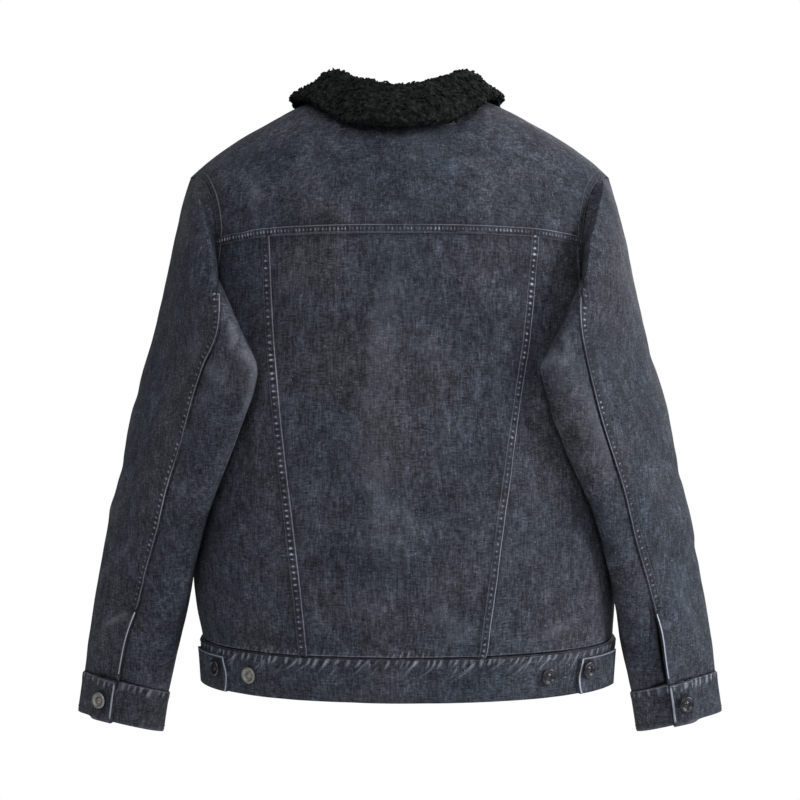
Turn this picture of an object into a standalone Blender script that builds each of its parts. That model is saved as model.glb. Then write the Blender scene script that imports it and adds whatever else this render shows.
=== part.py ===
"""Sherpa lined denim jacket, filled out and hollow, as a shell of sewn pieces.

The wearer's front faces -Y and the back faces +Y.  The origin lies between the
shoulders at the base of the neck, where the wearer's shoulders carry the jacket.
Every cloth piece is a wall: an outer surface from a few section tables, and an
inner surface one wall thickness behind it.
"""
import math
from collections import namedtuple

import bmesh
import bpy
from mathutils import Vector
from mathutils.bvhtree import BVHTree

# ---------------------------------------------------------------- driving sizes
BODY_WALL = 0.005          # denim and pile lining together
SLEEVE_WALL = 0.004
BAND_WALL = 0.006          # folded waistband and cuffs
STRIP_WALL = 0.0035        # tabs and button strip
COLLAR_WALL = 0.011        # curly pile on both faces
SEAM_GAP = 0.0003          # between two sewn pieces
LAY_GAP = 0.0005           # under a piece that lies on another
LAP_GAP = 0.0009           # under the button strip and between a band's lapped ends
BUTTON_GAP = 0.0004        # under a button's shank
BAND_PROUD = 0.0015        # bands stand out from the cloth above them
EDGE_EASE = 0.0008         # how much the outer face draws back at a sewn or turned edge
STEP = 0.002               # parameter step for surface normals

HEM_Z = -0.602
WAIST_Z = -0.557           # seam between the body and the waistband
UNDERARM_Z = -0.275
YOKE_Z = -0.1315           # yoke seam at the centre back
YOKE_DROP = 0.007          # how much lower the yoke seam meets the armhole
SHOULDER_X = 0.231
RIDGE_Y = -0.005           # shoulder seam, front to back
YOKE_X = 0.190             # half width of the yoke at its seam
NECK_HALF = 0.085
NECK_BACK = 0.100          # neck opening behind and in front of the shoulder seam
NECK_FRONT = 0.098
FULLNESS = 0.85            # how full the upper back and chest round over
ARMHOLE_MID_Z = -0.190     # where the armhole is cut furthest into the body
ARMHOLE_MID_TURN = 0.476   # and how far round the section it is cut there
OVERLAP_HALF = 0.020       # front edges reach this far past the centre
FRONT_EDGE_X = 0.018       # where the two fronts meet under the button strip
FELL_WIDTH = 0.011         # flat-felled seam bands
FELL_RISE = 0.0012
FELL_SLOPE = 0.012         # of a turn, beside the yoke's band where the cloth rises to it
SIDE_WIDTH = 0.065         # back side panel and back panel, at the yoke
PANEL_WIDTH = 0.28
SLEEVE_CLEAR = 0.0028      # between a sleeve and the body
SLIT_OPEN = {"left": 0.0012, "right": 0.0055}

Section = namedtuple("Section", "height half_width back front squareness centre")
SECTIONS = (
    Section(-0.602, 0.2215, 0.142, 0.108, 2.20, -0.009),
    Section(-0.557, 0.2250, 0.146, 0.112, 2.20, -0.0085),
    Section(-0.500, 0.2320, 0.152, 0.118, 2.20, -0.005),
    Section(-0.400, 0.2260, 0.150, 0.123, 2.25, -0.003),
    Section(-0.275, 0.2120, 0.143, 0.128, 2.30, 0.000),
    Section(-0.200, 0.2120, 0.140, 0.128, 2.35, 0.000),
    Section(-0.130, 0.2170, 0.137, 0.122, 2.40, 0.000),
)

Ridge = namedtuple("Ridge", "across height")
SHOULDER_LINE = (
    Ridge(0.000, 0.038),
    Ridge(0.085, 0.033),
    Ridge(0.120, 0.019),
    Ridge(0.166, -0.007),
    Ridge(0.205, -0.032),
    Ridge(0.231, -0.055),
)

BackSeam = namedtuple("BackSeam", "height left right")
BACK_SEAMS = (
    BackSeam(-0.557, 0.0965, -0.0826),
    BackSeam(-0.410, 0.1127, -0.1020),
    BackSeam(-0.315, 0.1240, -0.1170),
    BackSeam(-0.225, 0.1316, -0.1290),
    BackSeam(-0.130, 0.1360, -0.1380),
)

# Rows of the wearer's left sleeve, by the height of its inner fold: the fold,
# the outermost point, the half depth, and the turn where the back seam runs.
SleeveRow = namedtuple("SleeveRow", "height fold_x fold_y outer_x outer_y outer_z depth seam")
SLEEVE_ROWS = (
    SleeveRow(-0.6579, 0.2574, 0.025, 0.3537, -0.008, -0.6432, 0.039, 92),
    SleeveRow(-0.6136, 0.2500, 0.030, 0.3476, -0.009, -0.5989, 0.040, 91),
    SleeveRow(-0.5676, 0.2376, 0.040, 0.3432, -0.013, -0.5535, 0.043, 92),
    SleeveRow(-0.5201, 0.2249, 0.052, 0.3365, -0.020, -0.5055, 0.046, 96),
    SleeveRow(-0.4562, 0.2055, 0.075, 0.3265, -0.029, -0.4393, 0.049, 100),
    SleeveRow(-0.4034, 0.1892, 0.095, 0.3153, -0.036, -0.3839, 0.052, 101),
    SleeveRow(-0.3387, 0.1620, 0.115, 0.3017, -0.043, -0.3112, 0.056, 101),
    SleeveRow(-0.2726, 0.1405, 0.128, 0.2821, -0.046, -0.2394, 0.060, 103),
    SleeveRow(-0.2330, 0.1580, 0.121, 0.2725, -0.043, -0.2050, 0.060, 130),
    SleeveRow(-0.2000, 0.1745, 0.110, 0.2650, -0.038, -0.1780, 0.058, 151),
    SleeveRow(-0.1700, 0.1840, 0.102, 0.2580, -0.030, -0.1520, 0.054, 185),
    SleeveRow(-0.1400, 0.1900, 0.092, 0.2530, -0.022, -0.1330, 0.048, 180),
    SleeveRow(-0.1000, 0.2020, 0.0735, 0.2450, -0.014, -0.1040, 0.032, 180),
    SleeveRow(-0.0740, 0.2150, 0.054, 0.2392, -0.009, -0.0830, 0.018, 180),
    SleeveRow(-0.0540, 0.2310, 0.000, 0.2330, -0.006, -0.0610, 0.008, 180),
)
SEAM_TWIST = {"left": 0.0, "right": 10.0}      # degrees that each sleeve is turned
CUFF_TWIST = {"left": 0.0, "right": 8.0}       # and how much more towards its cuff
CUFF_TILT = 0.20           # how steeply the cuffs rise towards the back
CAP_FULLNESS = 0.80        # the sleeve's top rounds over quickly beside the armhole
CUFF_TOP = -0.6136
CUFF_END = -0.6579
INNER_TURN = 268           # turn of the underarm line, on the side next to the body
UNDERARM_FADE = 0.080      # height below the underarm where the sleeve finds its oval

# Soft folds of the body: which half, place across, heights, width and depth.
Fold = namedtuple("Fold", "half across low high width depth")
BODY_FOLDS = (
    Fold("back", 0.10, -0.56, -0.40, 0.020, -0.0030),
    Fold("back", 0.02, -0.56, -0.33, 0.026, 0.0025),
    Fold("back", -0.06, -0.56, -0.44, 0.018, -0.0022),
    Fold("back", -0.13, -0.52, -0.30, 0.024, -0.0030),
    Fold("back", 0.16, -0.55, -0.36, 0.016, 0.0028),
    Fold("front", 0.12, -0.55, -0.30, 0.026, -0.0030),
    Fold("front", -0.11, -0.54, -0.26, 0.024, -0.0030),
)

# Sleeve folds: height, turn round the sleeve, slant, length round it, width, depth.
SleeveFold = namedtuple("SleeveFold", "height turn slant length width depth")
SLEEVE_FOLDS = (
    SleeveFold(-0.345, 120, 0.0006, 60, 0.013, -0.0028),
    SleeveFold(-0.400, 60, -0.0005, 55, 0.012, -0.0028),
    SleeveFold(-0.455, 130, 0.0005, 50, 0.011, -0.0026),
    SleeveFold(-0.520, 90, -0.0004, 60, 0.012, -0.0024),
    SleeveFold(-0.430, -40, 0.0005, 50, 0.012, -0.0030),
    SleeveFold(-0.500, -60, -0.0005, 50, 0.012, -0.0026),
)

CollarRow = namedtuple("CollarRow", "turn bend top edge_out edge_z")
# Collar by the turn about the neck from the centre back: radius of the fold,
# height of its top, and the leaf's edge measured outwards from the neck seam.
COLLAR_ROWS = (
    CollarRow(0, 0.0085, 0.0240, 0.036, -0.0240),
    CollarRow(30, 0.0085, 0.0380, 0.037, -0.0160),
    CollarRow(55, 0.0085, 0.0540, 0.038, 0.0040),
    CollarRow(90, 0.0090, 0.0530, 0.038, 0.0300),
    CollarRow(125, 0.0100, 0.0300, 0.044, 0.0060),
    CollarRow(160, 0.0120, -0.0080, 0.050, -0.0560),
    CollarRow(180, 0.0130, -0.0240, 0.052, -0.0820),
)
NECK_CENTRE_Y = -0.003
COLLAR_REST = 0.0036       # above the body, under the leaf
COLLAR_EDGE = 0.72         # how much of its thickness the leaf keeps at its edge
COLLAR_INSET = 0.001       # the stand's face lies this far inside the neck seam
COLLAR_TIGHT = 0.009       # the leaf lies this much closer in over the right shoulder
COLLAR_TIGHT_TURN = 32.0   # degrees either side of the shoulder over which it does
COLLAR_PITCH = 0.017       # between two of its columns

# Hem tabs: where the tip lies, and how far round the waistband the tab runs from it.
TAB_HEIGHT = 0.037
TAB_TIP_X = {"left": 0.1770, "right": -0.1810}
TAB_TURN = 0.447           # radians, about 85 mm
TAB_POINT = 0.025          # radians that the tip's nose stands out past its corners
TAB_NOSE = 0.9             # twice the share of the height where the nose lies
TAB_BUTTONS = {"left": (0.1865, 0.025), "right": (-0.1890, 0.026)}    # x, above the hem
HEM_BUTTONS = {"left": (0.1520, 0.022), "right": (-0.1485, 0.023)}
BAND_ROLL = 0.004          # height of a band's rolled edges
BAND_RAMP = 0.10           # radians over which the waistband climbs onto its own end

BUTTON_PROFILE = (          # radius, height, from the crown to the foot
    (0.0000, 0.0052), (0.0060, 0.0050), (0.0085, 0.0040),
    (0.0082, 0.0026), (0.0032, 0.0022), (0.0032, 0.0000), (0.0000, 0.0000),
)
BUTTON_STEPS = 12
FRONT_BUTTONS = 6
STRIP_TOP = 1.86           # where the button strip ends under the collar
FRONT_BUTTON_Z = (-0.525, -0.112)

# ---------------------------------------------------------------- small helpers


def mix(start, end, part):
    return start + (end - start) * part


def ease(part):
    part = min(max(part, 0.0), 1.0)
    return part * part * (3.0 - 2.0 * part)


def hill(distance, width):
    return math.exp(-(distance / width) ** 2)


def signed_power(value, power):
    return math.copysign(abs(value) ** power, value)


def read(table, key):
    """Row of a table at any key between its first and last, smoothly blended."""
    keys = [row[0] for row in table]
    key = min(max(key, min(keys[0], keys[-1])), max(keys[0], keys[-1]))
    index = 0
    while index < len(keys) - 2 and key > keys[index + 1]:
        index += 1
    span = keys[index + 1] - keys[index]
    part = (key - keys[index]) / span
    before, after = max(index - 1, 0), min(index + 2, len(keys) - 1)
    values = [key]
    for column in range(1, len(table[0])):
        start, end = table[index][column], table[index + 1][column]
        start_slope = (end - table[before][column]) / (keys[index + 1] - keys[before])
        end_slope = (table[after][column] - start) / (keys[after] - keys[index])
        values.append(
            start * (2 * part ** 3 - 3 * part ** 2 + 1)
            + end * (3 * part ** 2 - 2 * part ** 3)
            + span * start_slope * (part ** 3 - 2 * part ** 2 + part)
            + span * end_slope * (part ** 3 - part ** 2))
    return type(table[0])(*values)


def steps(start, end, count):
    """Evenly spaced values from start to end, count intervals."""
    return [mix(start, end, number / count) for number in range(count + 1)]


def facing(tangent_a, tangent_b, outwards):
    """Unit normal of two tangents, turned to the outwards side."""
    normal = tangent_a.cross(tangent_b).normalized()
    return normal if normal.dot(outwards) > 0 else -normal


# ---------------------------------------------------------------- body surface


def armhole_turn(height):
    """How far round the section the armhole is cut in, at a height."""
    if height <= UNDERARM_Z:
        return 0.0
    if height < ARMHOLE_MID_Z:
        part = (height - UNDERARM_Z) / (ARMHOLE_MID_Z - UNDERARM_Z)
        return ARMHOLE_MID_TURN * math.sqrt(1.0 - (1.0 - part) ** 2)
    row = read(SECTIONS, height)
    top = math.acos((YOKE_X / row.half_width) ** (row.squareness / 2))
    part = ease((height - ARMHOLE_MID_Z) / (YOKE_Z - YOKE_DROP - ARMHOLE_MID_Z))
    return mix(ARMHOLE_MID_TURN, top, part)


def section_point(turn, height, grow=0.0):
    """Point of the body's section at a height; turn 0 is the wearer's left side."""
    row = read(SECTIONS, height)
    power = 2.0 / row.squareness
    depth = row.back if math.sin(turn) >= 0 else row.front
    x = row.centre + (row.half_width + grow) * signed_power(math.cos(turn), power)
    y = (depth + grow) * signed_power(math.sin(turn), power)
    return Vector((x, y, height))


def yoke_height(across):
    return YOKE_Z - YOKE_DROP * abs(2.0 * across - 1.0) ** 3


def neck_limit(ridge_x, rise):
    """Share of the quarter turn over the shoulder that is left below the neck."""
    if abs(ridge_x) >= NECK_HALF - 1e-6:
        return 1.0
    reach = NECK_BACK if rise > 0 else NECK_FRONT
    opening = reach * math.sqrt(1.0 - (ridge_x / NECK_HALF) ** 2)
    return math.acos(min((opening / abs(rise)) ** (1.0 / FULLNESS), 1.0)) / (math.pi / 2)


def body_point(half, across, up):
    """Body surface without folds.

    across runs from the left edge (0) to the right edge (1); up runs from the
    waist seam (0) to the yoke's level (1) and on to the shoulder and neck (2).
    """
    height = mix(WAIST_Z, yoke_height(across), min(up, 1.0))
    edge = armhole_turn(height)
    turn = edge + across * (math.pi - 2.0 * edge)
    base = section_point(turn if half == "back" else -turn, height)
    if up <= 1.0:
        return base
    ridge_x = base.x * SHOULDER_X / YOKE_X
    rise = base.y - RIDGE_Y
    angle = (up - 1.0) * neck_limit(ridge_x, rise) * math.pi / 2
    fall = math.cos(angle)
    return Vector((
        mix(ridge_x, base.x, fall),
        RIDGE_Y + rise * max(fall, 0.0) ** FULLNESS,
        mix(height, read(SHOULDER_LINE, abs(ridge_x)).height, math.sin(angle))))


def body_fold(half, point):
    """Height of the soft folds over a point of the body."""
    total = 0.0
    for fold in BODY_FOLDS:
        if fold.half != half:
            continue
        part = (point.z - fold.low) / (fold.high - fold.low)
        if 0.0 < part < 1.0:
            lean = fold.across + 0.03 * (part - 0.5)
            total += fold.depth * math.sin(math.pi * part) * hill(point.x - lean, fold.width)
    return total


def body_normal(half, across, up):
    low, high = max(up - STEP, 0.0), min(up + STEP, 2.0)
    left, right = max(across - STEP, 0.0), min(across + STEP, 1.0)
    along = body_point(half, across, high) - body_point(half, across, low)
    round_ = body_point(half, right, up) - body_point(half, left, up)
    here = body_point(half, across, up)
    normal = facing(along, round_, Vector((here.x, here.y, 0.12 if up > 1 else 0.0)))
    if up >= 2.0 and abs(here.x) > NECK_HALF - 1e-5:
        normal.y = 0.0
    return normal.normalized()


def body_place(half, across, up, out=0.0):
    """Body surface with its folds, moved out along its normal."""
    base = body_point(half, across, up)
    return base + body_normal(half, across, up) * (body_fold(half, base) + out)


def across_at(half, x, up):
    """Place across the body where its surface lies at a given x."""
    low, high = 0.0, 1.0
    for _ in range(40):
        middle = (low + high) / 2
        if body_point(half, middle, up).x > x:
            low = middle
        else:
            high = middle
    return (low + high) / 2


# ---------------------------------------------------------------- shared samples

ARMHOLE_CENTRE_Z = (SHOULDER_LINE[-1].height + UNDERARM_Z) / 2
ARMHOLE_HALF_Z = (SHOULDER_LINE[-1].height - UNDERARM_Z) / 2


def armhole_up(turn):
    """Place up the body's edge at a turn round the armhole, 0 at the shoulder."""
    height = ARMHOLE_CENTRE_Z + ARMHOLE_HALF_Z * math.cos(turn)
    edge = yoke_height(0.0)
    if height <= edge:
        return (height - WAIST_Z) / (edge - WAIST_Z)
    rise = (height - edge) / (SHOULDER_LINE[-1].height - edge)
    return 1.0 + math.asin(min(rise, 1.0)) / (math.pi / 2)


YOKE_TURN = math.acos((yoke_height(0.0) - ARMHOLE_CENTRE_Z) / ARMHOLE_HALF_Z)
FELL_TURN = math.acos((yoke_height(0.0) + FELL_WIDTH - ARMHOLE_CENTRE_Z) / ARMHOLE_HALF_Z)
YOKE_TURNS = steps(0.0, FELL_TURN - FELL_SLOPE, 4) + [FELL_TURN, YOKE_TURN]
BODY_TURNS = [mix(YOKE_TURN, math.pi, share) for share in (0.0, 0.13, 0.26, 0.39, 0.53, 0.70, 1.0)]
HALF_TURNS = YOKE_TURNS + BODY_TURNS[1:]
SEAM_SAMPLE = len(YOKE_TURNS)              # armhole sample where the sleeve's back seam starts

YOKE_UPS = [armhole_up(turn) for turn in reversed(YOKE_TURNS)]
BODY_UPS = steps(0.0, armhole_up(math.pi), 7)[:-1]
BODY_UPS += [armhole_up(turn) for turn in reversed(BODY_TURNS)]


def seam_across(side, up):
    """Place across the back where one of its two long seams runs."""
    height = mix(WAIST_Z, YOKE_Z, min(up, 1.0))
    row = read(BACK_SEAMS, height)
    return across_at("back", row.left if side == "left" else row.right, min(up, 1.0))


NECK_SHARE = NECK_HALF * YOKE_X / SHOULDER_X    # the neck's half width, at the yoke seam


def back_columns():
    """Columns of the three back panels as places across, at the yoke seam."""
    left, right = seam_across("left", 1.0), seam_across("right", 1.0)
    side_left = steps(0.0, 1.0 - (FELL_WIDTH + EDGE_EASE) / SIDE_WIDTH, 4)
    side_left += [1.0 - FELL_WIDTH / SIDE_WIDTH, 1.0]
    side_right = steps(0.0, 1.0, 4)
    neck = [(across_at("back", sign * NECK_SHARE, 1.0) - left) / (right - left)
            for sign in (1, -1)]
    fell = 1.0 - FELL_WIDTH / PANEL_WIDTH
    middle = steps(0.0, neck[0], 3)[:-1] + steps(neck[0], neck[1], 6)
    middle += steps(neck[1], fell - EDGE_EASE / PANEL_WIDTH, 2)[1:] + [fell, 1.0]
    return side_left, middle, side_right


SIDE_LEFT, MIDDLE, SIDE_RIGHT = back_columns()


# ---------------------------------------------------------------- making a wall


RIM_LEAN = Vector((0.37, 0.11, 1.0))


def rim_order(vert):
    """Order of a rim's corners in space, the same for both pieces at a seam."""
    return vert.co.dot(RIM_LEAN)


def grid_wall(name, columns, rows, outer, inner):
    """Closed wall from a grid: outer and inner give the two faces' points."""
    mesh = bmesh.new()
    bmesh.ops.create_grid(mesh, x_segments=columns - 1, y_segments=rows - 1, size=1.0)
    bmesh.ops.extrude_face_region(mesh, geom=mesh.faces[:])
    mesh.verts.ensure_lookup_table()
    half = len(mesh.verts) // 2
    for number, vert in enumerate(mesh.verts):
        column = round((vert.co.x + 1.0) / 2.0 * (columns - 1))
        row = round((vert.co.y + 1.0) / 2.0 * (rows - 1))
        vert.co = inner[row][column] if number < half else outer[row][column]
    for face in mesh.faces[:]:
        front = sorted((vert for vert in face.verts if vert.index >= half), key=rim_order)
        back = sorted((vert for vert in face.verts if vert.index < half), key=rim_order)
        if len(front) == 2 and len(back) == 2:
            bmesh.ops.connect_vert_pair(mesh, verts=[front[1], back[0]])
    bmesh.ops.recalc_face_normals(mesh, faces=mesh.faces[:])
    if mesh.calc_volume(signed=True) < 0.0:
        bmesh.ops.reverse_faces(mesh, faces=mesh.faces[:])
    return add_object(name, mesh)


def pull_in(points, amount, edges):
    """Move the border points of a grid inwards, to leave the gap of a seam."""
    rows, columns = len(points), len(points[0])
    moved = [[point.copy() for point in row] for row in points]

    def shift(row, column, to_row, to_column):
        away = (points[to_row][to_column] - points[row][column]).normalized()
        moved[row][column] += away * amount

    for column in range(columns):
        if "bottom" in edges:
            shift(0, column, 1, column)
        if "top" in edges:
            shift(rows - 1, column, rows - 2, column)
    for row in range(rows):
        if "left" in edges:
            shift(row, 0, row, 1)
        if "right" in edges:
            shift(row, columns - 1, row, columns - 2)
    return moved


ALL_EDGES = ("bottom", "top", "left", "right")
SEAM_PULL = 0.00018        # off each edge at a seam


def cloth(name, outer, inner, edges=ALL_EDGES):
    """Sewn piece: a wall with half the seam gap taken off its edges."""
    outer = pull_in(outer, SEAM_PULL, edges)
    inner = pull_in(inner, SEAM_PULL, edges)
    return grid_wall(name, len(outer[0]), len(outer), outer, inner)


# ---------------------------------------------------------------- body pieces


COVER = []                 # outer points of the pieces that the collar lies on


def flat(column, up):
    """Rise of a panel without a seam band."""
    return 0.0


def body_piece(name, half, ups, columns_at, rise=flat, wall=BODY_WALL, out=0.0):
    """Panel of the body; columns_at gives its places across at each height."""
    outer, inner = [], []
    for up in ups:
        places = columns_at(up)
        outer.append([body_place(half, across, up, out + rise(column, up))
                      for column, across in enumerate(places)])
        inner.append([body_place(half, across, up, out - wall) for across in places])
    COVER.append(outer)
    finish(cloth(name, outer, inner), "denim")


def make_back():
    def between(start, end, columns):
        return lambda up: [mix(start(up), end(up), part) for part in columns]

    def left_seam(up):
        return seam_across("left", up)

    def right_seam(up):
        return seam_across("right", up)

    side_fell = len(SIDE_LEFT) - 2
    middle_fell = len(MIDDLE) - 2
    body_piece("back_side_left", "back", BODY_UPS, between(lambda up: 0.0, left_seam, SIDE_LEFT),
               lambda column, up: FELL_RISE if column >= side_fell else 0.0)
    body_piece("back_panel", "back", BODY_UPS, between(left_seam, right_seam, MIDDLE),
               lambda column, up: FELL_RISE if column >= middle_fell else 0.0)
    body_piece("back_side_right", "back", BODY_UPS,
               between(right_seam, lambda up: 1.0, SIDE_RIGHT))

    yoke_columns = between(lambda up: 0.0, left_seam, SIDE_LEFT)(1.0)
    yoke_columns += between(left_seam, right_seam, MIDDLE)(1.0)[1:]
    yoke_columns += between(right_seam, lambda up: 1.0, SIDE_RIGHT)(1.0)[1:]
    fell_up = YOKE_UPS[1]
    inside = range(1, len(yoke_columns) - 1)
    body_piece("back_yoke", "back", YOKE_UPS, lambda up: yoke_columns,
               lambda column, up: FELL_RISE if up <= fell_up and column in inside else 0.0)
    return yoke_columns


def shoulder_columns(yoke_columns):
    """Front columns that meet the yoke's columns along the left shoulder."""
    places = []
    for across in yoke_columns:
        x = body_point("back", across, 1.0).x
        if x > NECK_SHARE - 1e-5:
            places.append(across_at("front", x, 1.0))
    places[0] = 0.0
    return places


def make_fronts(yoke_columns):
    shoulder = {"left": shoulder_columns(yoke_columns)}
    shoulder["right"] = shoulder_columns([1.0 - across for across in reversed(yoke_columns)])
    ups = BODY_UPS + YOKE_UPS[1:]

    def edge_across(up):
        return across_at("front", FRONT_EDGE_X, min(up, 1.0))

    neck = {"left": 2, "right": 4}
    columns = {}
    for side in ("left", "right"):
        full = edge_across(1.0) if side == "left" else 1.0 - edge_across(1.0)
        own = shoulder[side]
        own = own[:-1] + steps(own[-1], full, neck[side])
        columns[side] = [across / full for across in own]
    body_piece("front_left", "front", ups,
               lambda up: [part * edge_across(up) for part in columns["left"]])
    body_piece("front_right", "front", ups,
               lambda up: [1.0 - part * (1.0 - edge_across(up)) for part in columns["right"]])
    strip_ups = BODY_UPS + YOKE_UPS[1:-2] + [STRIP_TOP]
    body_piece("button_strip", "front", strip_ups,
               lambda up: [across_at("front", x, min(up, 1.0))
                           for x in steps(OVERLAP_HALF, -OVERLAP_HALF, 3)],
               wall=STRIP_WALL, out=STRIP_WALL + LAP_GAP)
    return columns


# ---------------------------------------------------------------- waistband and tabs


def band_normal(turn, height):
    along = section_point(turn + STEP, height) - section_point(turn - STEP, height)
    up = section_point(turn, height + STEP) - section_point(turn, height - STEP)
    here = section_point(turn, height)
    return facing(along, up, Vector((here.x, here.y, 0.0)))


def band_place(turn, height, out=0.0):
    return section_point(turn, height) + band_normal(turn, height) * out


def band_turn(x, height):
    """Turn of the waistband's section where its back lies at a given x."""
    row = read(SECTIONS, height)
    share = (x - row.centre) / row.half_width
    return math.acos(signed_power(share, row.squareness / 2))


def make_waistband():
    heights = [HEM_Z, HEM_Z + BAND_ROLL, mix(HEM_Z, WAIST_Z, 0.5), WAIST_Z - BAND_ROLL, WAIST_Z]
    over, rest = -band_turn(-OVERLAP_HALF, WAIST_Z), -band_turn(OVERLAP_HALF, WAIST_Z)
    ramp = rest + BAND_RAMP
    turns = steps(over, rest, 4) + [mix(rest, ramp, 0.5)]
    turns += steps(ramp, rest + 2 * math.pi, 40)
    outer, inner = [], []
    for height in heights:
        edge = EDGE_EASE if height in (HEM_Z, WAIST_Z) else 0.0
        lift = [(BAND_WALL + LAP_GAP) * ease((ramp - turn) / BAND_RAMP) for turn in turns]
        outer.append([band_place(turn, height, BAND_PROUD - edge + rise)
                      for turn, rise in zip(turns, lift)])
        inner.append([band_place(turn, height, BAND_PROUD - BAND_WALL + rise)
                      for turn, rise in zip(turns, lift)])
    finish(cloth("waistband", outer, inner, ("top",)), "denim")


def make_tabs():
    """Adjuster tabs that run from each side towards the back, over the waistband."""
    out = BAND_PROUD + LAY_GAP
    for side, sign in (("left", 1), ("right", -1)):
        tip = band_turn(TAB_TIP_X[side], WAIST_Z)
        outer, inner = [], []
        for share in steps(0.0, 1.0, 4):
            height = HEM_Z + LAY_GAP + TAB_HEIGHT * share
            blunt = min(abs(2.0 * share - TAB_NOSE), 1.0)
            turns = [tip - sign * (TAB_TURN * part + TAB_POINT * blunt * (1.0 - part))
                     for part in (0.0, 0.03, 0.15, 0.3, 0.45, 0.6, 0.8, 1.0)]
            outer.append([band_place(turn, height, out + STRIP_WALL) for turn in turns])
            inner.append([band_place(turn, height, out) for turn in turns])
        finish(cloth("hem_tab_" + side, outer, inner, ()), "denim")


# ---------------------------------------------------------------- sleeves


def mirrored(vector, hand):
    return vector if hand == "left" else Vector((-vector.x, vector.y, vector.z))


CLEAR_BEND = 80.0          # how tightly a pushed surface bends back to its own line
TUCK_REACH = 0.015         # from the armhole, where a sleeve starts to be pushed clear


def keep_clear(point, amount):
    """Push a point out of the body's section, to leave some clearance."""
    if point.z > YOKE_Z:
        return point
    row = read(SECTIONS, point.z)
    gap = SLEEVE_CLEAR * amount
    depth = (row.back if point.y > 0 else row.front) + gap
    x, y = point.x - row.centre, point.y
    share = ((abs(x) / (row.half_width + gap)) ** row.squareness
             + (abs(y) / depth) ** row.squareness) ** (1.0 / row.squareness)
    soft = (share ** CLEAR_BEND + 1.0) ** (1.0 / CLEAR_BEND)
    factor = mix(max(share, 1.0), soft, amount) / max(share, 1e-6)
    return Vector((row.centre + x * factor, y * factor, point.z))


def armhole_point(turn, hand):
    """Point of the armhole seam; turn 0 is the shoulder, pi the underarm, on to the front."""
    half = "back" if turn <= math.pi else "front"
    across = 0.0 if hand == "left" else 1.0
    return body_place(half, across, armhole_up(turn if half == "back" else 2 * math.pi - turn))


def sleeve_axes(height):
    row = read(SLEEVE_ROWS, height)
    fold = Vector((row.fold_x, row.fold_y, height))
    outer = Vector((row.outer_x, row.outer_y, row.outer_z))
    rise = CUFF_TILT * ease((-0.500 - height) / 0.100)
    return (fold + outer) / 2, (outer - fold) / 2, Vector((0.0, row.depth, row.depth * rise))


def sleeve_fold(height, turn):
    total = 0.0
    for fold in SLEEVE_FOLDS:
        off = turn - fold.turn
        drop = height - fold.height - off * fold.slant
        total += fold.depth * hill(off, fold.length) * hill(drop, fold.width)
    return total


def tucked(fold, seam, part):
    """Curve of the cloth tucked behind the inner fold, from the fold to the armhole."""
    leave = Vector((0.0, -1.2 * max(fold.y - seam.y, 0.0), 0.0))
    arrive = (seam - fold) * 0.6
    return (fold * (2 * part ** 3 - 3 * part ** 2 + 1) + seam * (3 * part ** 2 - 2 * part ** 3)
            + leave * (part ** 3 - 2 * part ** 2 + part) + arrive * (part ** 3 - part ** 2))


def sleeve_point(height, turn, hand):
    """Outer surface of a sleeve.

    The height is that of the inner fold.  The turn runs in degrees from the
    underarm line (268) over the inner fold (180) and the outside of the arm (0)
    to the underarm line again (-92); above the underarm it starts and ends on
    the armhole seam instead.
    """
    centre, long_way, deep_way = sleeve_axes(height)
    cap = ease((height + 0.300) / 0.060)

    def oval(degrees):
        angle = math.radians(degrees)
        deep = math.sin(angle)
        if degrees > 90.0:
            deep = mix(deep, signed_power(deep, CAP_FULLNESS), cap)
        return centre + long_way * math.cos(angle) + deep_way * deep

    share = min((max(height, UNDERARM_Z) - ARMHOLE_CENTRE_Z) / ARMHOLE_HALF_Z, 1.0)
    hole = math.acos(max(share, -1.0))
    back, front = armhole_point(hole, hand), armhole_point(2 * math.pi - hole, hand)
    point = mirrored(oval(turn), hand)
    fade, clear = 1.0, 1.0
    if height < UNDERARM_Z:
        fade = ease(1.0 - (UNDERARM_Z - height) / UNDERARM_FADE)
        back = front = back + Vector((0.0, 0.0, height - UNDERARM_Z))
    if turn > 180.0:
        fold = mirrored(oval(180.0), hand)
        point = mix(point, tucked(fold, back, (turn - 180.0) / (INNER_TURN - 180.0)), fade)
    end = mirrored(oval(INNER_TURN - 360), hand)
    point += (front - end) * min(max(-turn / (360.0 - INNER_TURN), 0.0), 1.0) ** 2 * fade
    if height >= UNDERARM_Z:
        clear = min(min((point - back).length, (point - front).length) / TUCK_REACH, 1.0)
    elif fade > 0.0:
        clear = mix(1.0, min((point - back).length / TUCK_REACH, 1.0), fade)
    return keep_clear(point, clear)


def sleeve_normal(height, turn, hand):
    """Unit normal of the sleeve's outer surface."""
    low, high = height - 0.010, height + 0.010
    along = sleeve_point(high, turn, hand) - sleeve_point(low, turn, hand)
    before, after = max(turn - 2.0, INNER_TURN - 360), min(turn + 2.0, INNER_TURN)
    if height < UNDERARM_Z + 1e-6 and after - before < 3.0:
        before, after = INNER_TURN - 2.0, INNER_TURN - 358.0
    round_ = sleeve_point(height, after, hand) - sleeve_point(height, before, hand)
    normal = along.cross(round_).normalized()
    return -normal if hand == "left" else normal


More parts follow.
